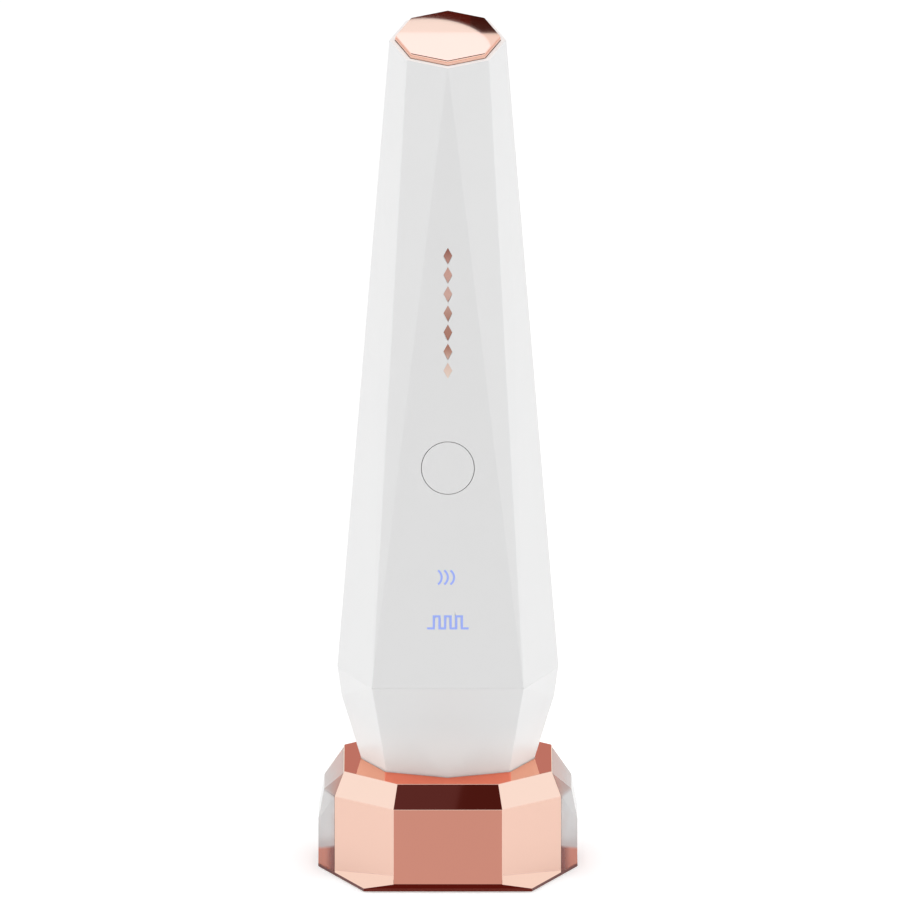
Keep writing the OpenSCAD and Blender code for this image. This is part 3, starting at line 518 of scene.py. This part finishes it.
def finish(name, rgb, roughness, metallic=0.0, second=None, amount=0.3, tone_scale=90.0, drift=0.04,
           grain_scale=4000.0, grain=0.0, extra=None):
    """A material with drifting tone and roughness and, where grain is above 0, a bump grain metres deep."""
    if name in bpy.data.materials:
        return bpy.data.materials[name]
    material, tree, surface = empty_material(name)
    shader = tree.nodes.new("ShaderNodeBsdfPrincipled")
    tree.links.new(shader.outputs["BSDF"], surface)
    tone = add_group(tree, tone_group(), colour=rgba(rgb), second_colour=rgba(second or shade(rgb, 0.94)),
                     scale=tone_scale, amount=amount)
    tree.links.new(tone.outputs["Colour"], shader.inputs["Base Color"])
    texture = add_group(tree, grain_group(), scale=grain_scale, roughness=roughness, drift=drift)
    tree.links.new(texture.outputs["Roughness"], shader.inputs["Roughness"])
    shader.inputs["Metallic"].default_value = metallic
    if grain > 0:
        bump = tree.nodes.new("ShaderNodeBump")
        bump.inputs["Strength"].default_value = 1.0
        bump.inputs["Distance"].default_value = grain
        tree.links.new(texture.outputs["Height"], bump.inputs["Height"])
        tree.links.new(bump.outputs["Normal"], shader.inputs["Normal"])
    for label, value in (extra or {}).items():
        shader.inputs[label].default_value = value
    return material


def tint_with(material, group, **values):
    """Puts a shader group between a material's base colour and what feeds it, and gives the group's node."""
    tree = material.node_tree
    socket = principled(material).inputs["Base Color"]
    node = add_group(tree, group, **values)
    if "Colour" in node.inputs:
        tree.links.new(socket.links[0].from_socket, node.inputs["Colour"])
    tree.links.new(node.outputs["Colour"], socket)
    return node


def moulded_white(name, rgb):
    return finish(name, rgb, bpy.context.scene.toner_shell.roughness, grain=0.002 * MM, grain_scale=2500.0,
                  extra={"IOR": 1.46})


def white_moulding():
    """The shells' white, with painted light: a paler, warmer white on faces that look up, such as the rim
    round the treatment plate.
    """
    if "White Moulding" in bpy.data.materials:
        return bpy.data.materials["White Moulding"]
    look = bpy.context.scene.toner_shell
    material = moulded_white("White Moulding", look.white)
    tint_with(material, facing_tone_group(), second=rgba(look.lit_top_white), low=0.9, high=1.1)
    return material


def dark_moulding():
    return finish("Dark Moulding", (0.02, 0.02, 0.022), 0.5, grain=0.003 * MM)


def zinc_steel():
    return finish("Zinc Steel", (0.62, 0.62, 0.63), 0.28, metallic=1.0, drift=0.1)


def rose_gold():
    look = bpy.context.scene.toner_metal
    return finish("Rose Gold Plating", look.rose_gold, look.roughness, metallic=1.0, drift=0.03)


def dock_plating():
    """The dock's plating, with a painted reflection in deeper tones on its level top that only shows at a low
    angle.
    """
    look = bpy.context.scene.toner_metal
    material = finish("Dock Plating", look.rose_gold, look.roughness, metallic=1.0, drift=0.01,
                      extra={"Specular Tint": rgba(look.low_tint), "Emission Strength": 1.0})
    tone = tint_with(material, dock_reflection_group(), top=rgba(look.painted_top_reflection), front=rgba(look.painted_front_reflection),
                     warm=rgba(look.painted_front_glow), front_half=look.front_half)
    tree = material.node_tree
    weight = tree.nodes.new("ShaderNodeLayerWeight")
    weight.inputs["Blend"].default_value = 0.5
    low_angle = ramp_mask(tree, weight.outputs["Facing"], 0.5, 0.72)
    plain = tone.inputs["Colour"].links[0].from_socket
    seen = blend(tree, low_angle, plain, tone.outputs["Colour"])
    # The light that the plating throws on its neighbours is paler than its own colour
    path = tree.nodes.new("ShaderNodeLightPath")
    thrown = calc(tree, "MULTIPLY", path.outputs["Is Diffuse Ray"], 0.7)
    shader = principled(material)
    tree.links.new(blend(tree, thrown, seen, rgba(look.thrown)), shader.inputs["Base Color"])
    # Painted glow: the level top's front part gives off warm light at a low angle, though it is no lamp
    tree.links.new(blend(tree, low_angle, BLACK, tone.outputs["Glow"]), shader.inputs["Emission Color"])
    return material


def foil(low, high):
    """Foil whose bands run from the height low to the height high."""
    material = finish("Rose Gold Foil", (0.86, 0.48, 0.36), 0.3, metallic=1.0)
    tint_with(material, foil_group(), low=low, high=high)
    return material


def crystal():
    if "Clear Crystal" in bpy.data.materials:
        return bpy.data.materials["Clear Crystal"]
    look = bpy.context.scene.toner_crystal
    material = finish("Clear Crystal", look.tint, 0.06, drift=0.02, amount=0.2,
                      extra={"Transmission Weight": look.clearness, "IOR": look.ior})
    # Painted reflection and shade from the dock, on the clear blocks
    tint_with(material, crystal_reflection_group(), top=rgba(look.top), blush=rgba(look.blush),
              foot=rgba(look.foot), deep=rgba(look.deep))
    return material


def lit_blue():
    look = bpy.context.scene.toner_light
    return finish("Lit Blue", look.window, 0.4,
                  extra={"Emission Color": rgba(look.glow), "Emission Strength": look.strength})


# ---------- Pieces ----------

class TONER_OT_white_shells(bpy.types.Operator):
    """Rounds and finishes the front shell, the rear shell and the bottom cap"""
    bl_idname = "toner.white_shells"
    bl_label = "White Shells"

    def execute(self, context):
        look = context.scene.toner_shell
        seam_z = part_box("front_shell")[0].z
        rim_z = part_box("plate_electrode")[0].z - RIM_DEPTH
        dock_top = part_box("dock_shell")[1].z

        def radius(edge):
            if all(on_cap_front(face.normal, face.calc_center_median(), face.calc_area(), seam_z)
                   for face in edge.link_faces):
                return 0
            on_seam = all(abs(v.co.z - seam_z) < NEAR for v in edge.verts)
            on_side = all(abs(v.co.y) < NEAR and v.co.z > seam_z - NEAR for v in edge.verts)
            on_rim = all(v.co.z > rim_z for v in edge.verts)
            return look.joint_radius if on_seam or on_side or on_rim else look.facet_radius

        for node in ("front_shell", "rear_shell"):
            soften(node, radius, white_moulding())
        # Painted light: the cap's material is a lighter copy of the shells' white
        white = moulded_white("Lit White Cap Moulding", look.lit_cap_white)
        # Painted light: the cap turns paler and warmer next to the dock
        tint_with(white, height_tone_group(), second=rgba(look.painted_foot_light), start=dock_top + look.painted_light_fade,
                  end=dock_top)
        cap = soften("bottom_cap", radius, white)
        smooth_across(cap, lambda face: on_cap_front(face.normal, face.center, face.area, seam_z))
        return {"FINISHED"}


class TONER_OT_power_button(bpy.types.Operator):
    """Finishes the round power button and the plunger under it"""
    bl_idname = "toner.power_button"
    bl_label = "Power Button"

    def execute(self, context):
        dress("button_cap", white_moulding())
        dress("switch_plunger", dark_moulding())
        return {"FINISHED"}


class TONER_OT_treatment_head(bpy.types.Operator):
    """Finishes the treatment plate, the ring under it, their carrier and the skin sensor"""
    bl_idname = "toner.treatment_head"
    bl_label = "Treatment Head"

    def execute(self, context):
        look = context.scene.toner_metal
        polished = finish("Polished Rose Gold", look.rose_gold, look.plate_roughness, metallic=1.0,
                          drift=0.01)
        # Painted dark reflection on the plate's chamfers that look forward
        tint_with(polished, facing_tone_group(), second=rgba(look.painted_chamfer_reflection), low=0.2, high=0.95, front=0.5)
        self.add_plate(polished)
        dress("ring_electrode", rose_gold())
        # Painted shade: the carrier's warm brown shows in the slit and the gap round the ring as their shade
        # line
        dress("head_carrier", finish("Gap Shade Moulding", (0.36, 0.2, 0.16), 0.45, grain=0.003 * MM))
        dress("skin_sensor", finish("Sensor Copper", (0.75, 0.4, 0.2), 0.3, metallic=1.0))
        return {"FINISHED"}

    def add_plate(self, material):
        """The plate, with its underside's rim let down on the lacquer that fills the slit over the ring."""
        bm = whole_faces("plate_electrode")
        out = max((f for f in bm.faces if f.normal.z > 0), key=lambda f: f.calc_area()).normal.copy()
        ring_top = max(v.co.dot(out) for v in frame["nodes"]["ring_electrode"].data.vertices)
        under = min(v.co.dot(out) for v in bm.verts)
        centre = middle(bm)
        for vertex in bm.verts:
            offset = vertex.co - centre
            if vertex.co.dot(out) < under + WELD and (offset - out * offset.dot(out)).length > PLATE_RIM:
                vertex.co -= out * (under - ring_top - SLIT_LEFT)
        mesh = bpy.data.meshes.new("plate_electrode_rimmed")
        bm.to_mesh(mesh)
        bm.free()
        add_piece("plate_electrode.finished", mesh, "plate_electrode", material)


class TONER_OT_lit_signs(bpy.types.Operator):
    """Finishes the two lit signs and the LEDs under them"""
    bl_idname = "toner.lit_signs"
    bl_label = "Lit Signs"

    def execute(self, context):
        dress("wave_light", lit_blue())
        dress("pulse_light", lit_blue())
        dress("mode_leds", finish("LED Body", (0.85, 0.82, 0.6), 0.3))
        return {"FINISHED"}


class TONER_OT_inlay(bpy.types.Operator):
    """Finishes the foil inlay up the front"""
    bl_idname = "toner.inlay"
    bl_label = "Inlay"

    def execute(self, context):
        low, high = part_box("inlay")
        dress("inlay", foil(low.z, high.z))
        return {"FINISHED"}


class TONER_OT_dock(bpy.types.Operator):
    """Rounds and finishes the dock's shell and its base plate"""
    bl_idname = "toner.dock"
    bl_label = "Dock"

    def execute(self, context):
        look = context.scene.toner_metal
        foot_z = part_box("dock_shell")[0].z

        def radius(edge):
            return 0 if all(v.co.z < foot_z + NEAR for v in edge.verts) else look.edge_radius

        soften("dock_shell", radius, dock_plating())
        pale = finish("Pale Plating", look.pale_gold, look.roughness, metallic=1.0, drift=0.01)
        # Painted dark reflection on the base plate's upright edge
        tint_with(pale, facing_tone_group(), second=rgba(look.painted_edge_reflection), low=-0.5, high=0.5)
        soften("base_plate", lambda edge: look.edge_radius / 2, pale)
        return {"FINISHED"}


class TONER_OT_crystals(bpy.types.Operator):
    """Rounds and finishes the clear blocks at the dock's sides"""
    bl_idname = "toner.crystals"
    bl_label = "Crystals"

    def execute(self, context):
        look = context.scene.toner_crystal
        for node in ("crystal_left", "crystal_right"):
            soften(node, lambda edge: look.edge_radius, crystal())
        return {"FINISHED"}


class TONER_OT_dock_inside(bpy.types.Operator):
    """Finishes the seat cup, the spring pins, the power socket and the ballast"""
    bl_idname = "toner.dock_inside"
    bl_label = "Dock Inside"

    def execute(self, context):
        gold = finish("Contact Gold", (0.9, 0.66, 0.28), 0.18, metallic=1.0)
        # Painted shade: the seat cup's dark brown shows in the gap round the cap's foot as its shade line
        dress("seat_cup", finish("Seat Shade Moulding", (0.12, 0.024, 0.016), 0.5, grain=0.003 * MM))
        for node in ("pin_block", "socket_tongue"):
            dress(node, dark_moulding())
        for node in ("pin_left", "pin_right", "charge_pads"):
            dress(node, gold)
        for node in ("power_socket", "ballast"):
            dress(node, zinc_steel())
        return {"FINISHED"}


class TONER_OT_electronics(bpy.types.Operator):
    """Finishes the boards, the cell, the switch and the leads"""
    bl_idname = "toner.electronics"
    bl_label = "Electronics"

    def execute(self, context):
        board = finish("Circuit Board", (0.01, 0.09, 0.04), 0.3, second=(0.02, 0.16, 0.07), amount=1.0,
                       tone_scale=900.0)
        dress("main_board", board)
        dress("dock_board", board)
        dress("board_parts", finish("Chip Black", (0.015, 0.015, 0.017), 0.45, grain=0.002 * MM))
        dress("rf_transformer", finish("Copper Winding", (0.7, 0.3, 0.14), 0.35, metallic=1.0,
                                       grain=0.02 * MM))
        dress("tact_switch", zinc_steel())
        dress("battery_cell", finish("Cell Wrap", (0.03, 0.1, 0.4), 0.35, amount=0.5))
        dress("battery_foam", finish("Foam", (0.05, 0.05, 0.055), 0.95, grain=0.1 * MM, grain_scale=1500.0))
        for node in ("electrode_leads", "charge_leads"):
            dress(node, finish("Lead Sleeve", (0.4, 0.02, 0.015), 0.5))
        return {"FINISHED"}


class TONER_OT_small_parts(bpy.types.Operator):
    """Finishes the frame, the screws, the seal and the foot pads"""
    bl_idname = "toner.small_parts"
    bl_label = "Frame, Screws and Pads"

    def execute(self, context):
        dress("inner_frame", finish("Grey Moulding", (0.5, 0.51, 0.52), 0.45, grain=0.003 * MM))
        for node in ("frame_screws", "cap_screws", "dock_screws"):
            dress(node, zinc_steel())
        rubber = finish("Soft Rubber", (0.12, 0.12, 0.125), 0.8, grain=0.01 * MM)
        for node in ("seam_gasket", "foot_pads"):
            dress(node, rubber)
        return {"FINISHED"}


# ---------- Stage ----------

CARD_LIFT = 0.02 * MM             # how far a card floats over the base plate
CARD_GAP = 0.1 * MM               # between a card's edge and the dock's front wall
BROWN_HEIGHT = 0.9 * MM           # of the brown cards along the wall's foot
DISC_REACH = 0.30                 # from the treatment plate's middle to the bright disc
DARK_REACH = 0.31                 # from the treatment plate's middle to the dark cards


def plain_colour(name, rgb, strength, one_sided):
    """A material that shows one plain colour, for a reflected card; a one-sided card is clear from behind."""
    material, tree, surface = empty_material(name)
    emission = tree.nodes.new("ShaderNodeEmission")
    emission.inputs["Color"].default_value = rgba(rgb)
    emission.inputs["Strength"].default_value = strength
    if not one_sided:
        tree.links.new(emission.outputs["Emission"], surface)
        return material
    mix = tree.nodes.new("ShaderNodeMixShader")
    tree.links.new(tree.nodes.new("ShaderNodeNewGeometry").outputs["Backfacing"], mix.inputs[0])
    tree.links.new(emission.outputs["Emission"], mix.inputs[1])
    tree.links.new(tree.nodes.new("ShaderNodeBsdfTransparent").outputs[0], mix.inputs[2])
    tree.links.new(mix.outputs[0], surface)
    return material


def add_card(name, corners, rgb, strength=1.0, one_sided=False):
    """A flat card that only shows in reflections, and only from its front where it is one-sided."""
    mesh = bpy.data.meshes.new(name)
    mesh.from_pydata([tuple(c) for c in corners], [], [range(len(corners))])
    card = bpy.data.objects.new(name, mesh)
    bpy.context.scene.collection.objects.link(card)
    mesh.materials.append(plain_colour(name, rgb, strength, one_sided))
    card.visible_camera = False
    card.visible_diffuse = False
    card.visible_shadow = False
    card.visible_transmission = False


def toward(azimuth, elevation, reach=1.0):
    """A point in that direction from the origin; azimuth 0 is the front, 90 the right."""
    a = math.radians(azimuth)
    e = math.radians(elevation)
    return Vector((math.sin(a) * math.cos(e), -math.cos(a) * math.cos(e), math.sin(e))) * reach


def oblong(low, high):
    """The corners of an upright oblong between two pairs of azimuth and elevation."""
    return low, (high[0], low[1]), high, (low[0], high[1])


def far_card(name, corners, rgb, reach=1.6, strength=1.0):
    """A card round the handset, with its corners given as azimuth and elevation."""
    add_card(name, [toward(azimuth, elevation, reach) for azimuth, elevation in corners], rgb, strength)


def level_card(name, x, y0, y1, z, rgb, one_sided=False):
    """A level card from -x to x and from y0 to y1."""
    add_card(name, ((-x, y0, z), (x, y0, z), (x, y1, z), (-x, y1, z)), rgb, one_sided=one_sided)


def add_lamp(name, place, size, power):
    lamp = bpy.data.lights.new(name, "AREA")
    lamp.shape = "SQUARE"
    lamp.size = size
    lamp.energy = power
    holder = bpy.data.objects.new(name, lamp)
    holder.visible_glossy = False
    holder.visible_transmission = False
    bpy.context.scene.collection.objects.link(holder)
    holder.location = place
    holder.rotation_euler = (-Vector(place)).to_track_quat("-Z", "Y").to_euler()


def seen_directly(tree):
    """1 for camera, glossy and transmission rays, and 0 for those that light surfaces."""
    path = tree.nodes.new("ShaderNodeLightPath")
    total = calc(tree, "ADD", path.outputs["Is Camera Ray"], path.outputs["Is Glossy Ray"])
    total = calc(tree, "ADD", total, path.outputs["Is Transmission Ray"])
    return calc(tree, "MINIMUM", total, 1.0)


class TONER_OT_stage(bpy.types.Operator):
    """Builds the floor, the lamps, the cards that the metal reflects and the camera"""
    bl_idname = "toner.stage"
    bl_label = "Stage"

    def execute(self, context):
        setup = context.scene.toner_stage
        tones = context.scene.toner_cards
        self.add_camera(context, setup)
        self.add_world(context, setup)
        self.add_floor(setup)
        for side in (-1, 1):
            add_lamp(f"Side Lamp {side}", (side * 1.5, -0.25, 0.45), setup.lamp_size, setup.side_light)
        add_lamp("Top Lamp", (0, -0.2, 1.6), setup.lamp_size, setup.top_light)
        self.add_far_cards(tones)
        self.add_near_cards(tones)
        self.add_head_cards(context, tones)
        context.scene.view_settings.view_transform = "Standard"
        return {"FINISHED"}

    def add_camera(self, context, setup):
        data = bpy.data.cameras.new("Camera")
        data.sensor_width = 36.0
        data.lens = data.sensor_width * setup.distance / setup.view_width
        camera = bpy.data.objects.new("Camera", data)
        context.scene.collection.objects.link(camera)
        aim = Vector((setup.aim_x, 0, setup.aim_z))
        camera.location = aim + toward(0, math.degrees(setup.elevation), setup.distance)
        camera.rotation_euler = (math.pi / 2 - setup.elevation, 0, 0)
        context.scene.camera = camera

    def add_world(self, context, setup):
        world = bpy.data.worlds.new("Studio")
        context.scene.world = world
        world.use_nodes = True
        tree = world.node_tree
        tree.nodes.clear()
        output = tree.nodes.new("ShaderNodeOutputWorld")
        mix = tree.nodes.new("ShaderNodeMixShader")
        for strength, socket in ((setup.ambient, mix.inputs[1]), (1.0, mix.inputs[2])):
            light = tree.nodes.new("ShaderNodeBackground")
            light.inputs["Strength"].default_value = strength
            light.inputs["Color"].default_value = (1, 1, 1, 1)
            tree.links.new(light.outputs[0], socket)
        tree.links.new(seen_directly(tree), mix.inputs[0])
        tree.links.new(mix.outputs[0], output.inputs["Surface"])

    def add_floor(self, setup):
        half = setup.floor_half
        mesh = bpy.data.meshes.new("Floor")
        corners = [(-half, -half, 0), (half, -half, 0), (half, half, 0), (-half, half, 0)]
        mesh.from_pydata(corners, [], [(0, 1, 2, 3)])
        floor = bpy.data.objects.new("Floor", mesh)
        bpy.context.scene.collection.objects.link(floor)
        mesh.materials.append(self.floor_white(setup))

    def floor_white(self, setup):
        """A matt white that looks white to the camera and in reflections, and still takes a shadow."""
        material, tree, surface = empty_material("Floor White")
        total = tree.nodes.new("ShaderNodeAddShader")
        matt = tree.nodes.new("ShaderNodeBsdfDiffuse")
        matt.inputs["Color"].default_value = (0.9, 0.9, 0.9, 1)
        lift = tree.nodes.new("ShaderNodeEmission")
        lift.inputs["Color"].default_value = (1, 1, 1, 1)
        path = tree.nodes.new("ShaderNodeLightPath")
        reflected = calc(tree, "MAXIMUM", path.outputs["Is Glossy Ray"], path.outputs["Is Transmission Ray"])
        to_camera = calc(tree, "MULTIPLY", path.outputs["Is Camera Ray"], setup.floor_lift)
        strength = calc(tree, "ADD", to_camera, calc(tree, "MULTIPLY", reflected, setup.floor_glow))
        tree.links.new(strength, lift.inputs["Strength"])
        tree.links.new(matt.outputs[0], total.inputs[0])
        tree.links.new(lift.outputs[0], total.inputs[1])
        tree.links.new(total.outputs[0], surface)
        return material

    def add_far_cards(self, tones):
        """Cards round the handset: two dark ones in front that meet along a slanted line, and others."""
        left, right = (-4.79, 7), (4.2, 44)
        for i, (tone, side) in enumerate(((tones.dark_left, -30), (tones.dark_right, 30))):
            far_card(f"Dark Card {i}", ((side, 7), left, right, (side, 44)), tone)
        far_card("Dark Card Behind", oblong((150, 18), (210, 38)), tones.dark_left)
        far_card("Grey Card Behind", oblong((164, 8), (196, 17)), tones.rose_grey, reach=1.5)
        for side in (-1, 1):
            corners = oblong((side * 90 - 28, 4), (side * 90 + 28, 34))
            far_card(f"Bright Card {side}", corners, tones.bright, strength=1.2)

    def add_near_cards(self, tones):
        """Cards on the floor in front of the dock and behind it, and on the base plate's front strip."""
        plate_low, plate_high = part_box("base_plate")
        for side in (-1, 1):
            y = side * plate_high.y
            level_card(f"Warm Card {side}", 13.5 * MM, y, y + side * 80 * MM, 1 * MM, tones.warm)
        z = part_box("dock_shell")[0].z + CARD_LIFT
        wall_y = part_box("dock_shell")[0].y - CARD_GAP
        level_card("Warm Card Foot", 12 * MM, plate_low.y, wall_y, z, tones.warm, one_sided=True)
        # Brown cards stand along the wall's foot and out to the plate's corners, seen from the front only
        wall_x = front_reach("dock_shell", wall_y + 2 * CARD_GAP)
        corner_x = front_reach("base_plate", plate_low.y + 2 * CARD_GAP)
        top = z + BROWN_HEIGHT
        line = ((-corner_x, plate_low.y), (-wall_x, wall_y), (wall_x, wall_y), (corner_x, plate_low.y))
        for i, (start, end) in enumerate(zip(line, line[1:])):
            corners = ((*start, z), (*end, z), (*end, top), (*start, top))
            add_card(f"Brown Card {i}", corners, tones.brown, one_sided=True)

    def add_head_cards(self, context, tones):
        """Cards over the treatment plate: a bright disc in two tones, with dark cards behind its top."""
        eye = context.scene.camera.location
        bm = whole_faces("plate_electrode")
        face = max((f for f in bm.faces if f.normal.z > 0), key=lambda f: f.calc_area())
        out = face.normal.copy()
        centre = sum((v.co for v in face.verts), Vector()) / len(face.verts)
        bm.free()
        along = Vector((0, out.z, -out.y))
        glance = (centre - eye).normalized().reflect(out)

        def mirrored(x, y, reach):
            """Where the camera sees the point x, y of the plate, in mm, reflect a card that far away."""
            place = centre + Vector((x, 0, 0)) * MM + along * y * MM
            ray = (place - eye).normalized().reflect(out)
            return place + ray * (reach - (place - centre).dot(glance)) / ray.dot(glance)

        # In mm on the plate: the disc's level line, and the dark cards' lower edge, meeting line and reach
        line, edge, meet, wide = 1.35, 1.05, 5, 16
        for i, (x0, x1, tone) in enumerate(((-wide, meet, tones.head_dark_left),
                                            (meet, wide, tones.head_dark_right))):
            corners = ((x0, edge), (x1, edge), (x1, wide), (x0, wide))
            add_card(f"Plate Card Dark {i}", [mirrored(x, y, DARK_REACH) for x, y in corners], tone)
        # The disc's middle and radius, in mm on the plate, and its corners to each arc
        cx, cy, radius, steps = -5.0, -6.7, 14.5, 64
        start = math.asin((line - cy) / radius)
        arcs = (("Upper", start, math.pi - start, tones.head_upper, 1.2),
                ("Lower", math.pi - start, 2 * math.pi + start, tones.head_lower, 1.47))
        for label, first, last, tone, strength in arcs:
            angles = [first + (last - first) * i / steps for i in range(steps + 1)]
            disc = [mirrored(cx + radius * math.cos(a), cy + radius * math.sin(a), DISC_REACH)
                    for a in angles]
            add_card(f"Plate Card {label}", disc, tone, strength)


# ---------- Panel and registration ----------

OPERATORS = (
    TONER_OT_white_shells, TONER_OT_power_button, TONER_OT_treatment_head, TONER_OT_lit_signs, TONER_OT_inlay,
    TONER_OT_dock, TONER_OT_crystals, TONER_OT_dock_inside, TONER_OT_electronics, TONER_OT_small_parts,
    TONER_OT_stage,
)


class TONER_PT_panel(bpy.types.Panel):
    """Lists the handset's pieces and its stage"""
    bl_idname = "TONER_PT_panel"
    bl_label = "Facial Toning Handset"
    bl_space_type = "VIEW_3D"
    bl_region_type = "UI"
    bl_category = "Toner"

    def draw(self, context):
        for operator in OPERATORS:
            self.layout.operator(operator.bl_idname)


SETTINGS = {
    "toner_shell": ShellFinish,
    "toner_metal": MetalFinish,
    "toner_crystal": CrystalFinish,
    "toner_light": LightFinish,
    "toner_stage": StageSetup,
    "toner_cards": CardTones,
}


def register():
    for group in SETTINGS.values():
        bpy.utils.register_class(group)
    for name, group in SETTINGS.items():
        setattr(bpy.types.Scene, name, PointerProperty(type=group))
    for cls in OPERATORS + (TONER_PT_panel,):
        bpy.utils.register_class(cls)


def unregister():
    for cls in reversed(OPERATORS + (TONER_PT_panel,)):
        bpy.utils.unregister_class(cls)
    for name in SETTINGS:
        delattr(bpy.types.Scene, name)
    for group in reversed(SETTINGS.values()):
        bpy.utils.unregister_class(group)


def main():
    register()
    bpy.ops.toner.white_shells()
    bpy.ops.toner.power_button()
    bpy.ops.toner.treatment_head()
    bpy.ops.toner.lit_signs()
    bpy.ops.toner.inlay()
    bpy.ops.toner.dock()
    bpy.ops.toner.crystals()
    bpy.ops.toner.dock_inside()
    bpy.ops.toner.electronics()
    bpy.ops.toner.small_parts()
    bpy.ops.toner.stage()


if __name__ == "__main__":
    main()
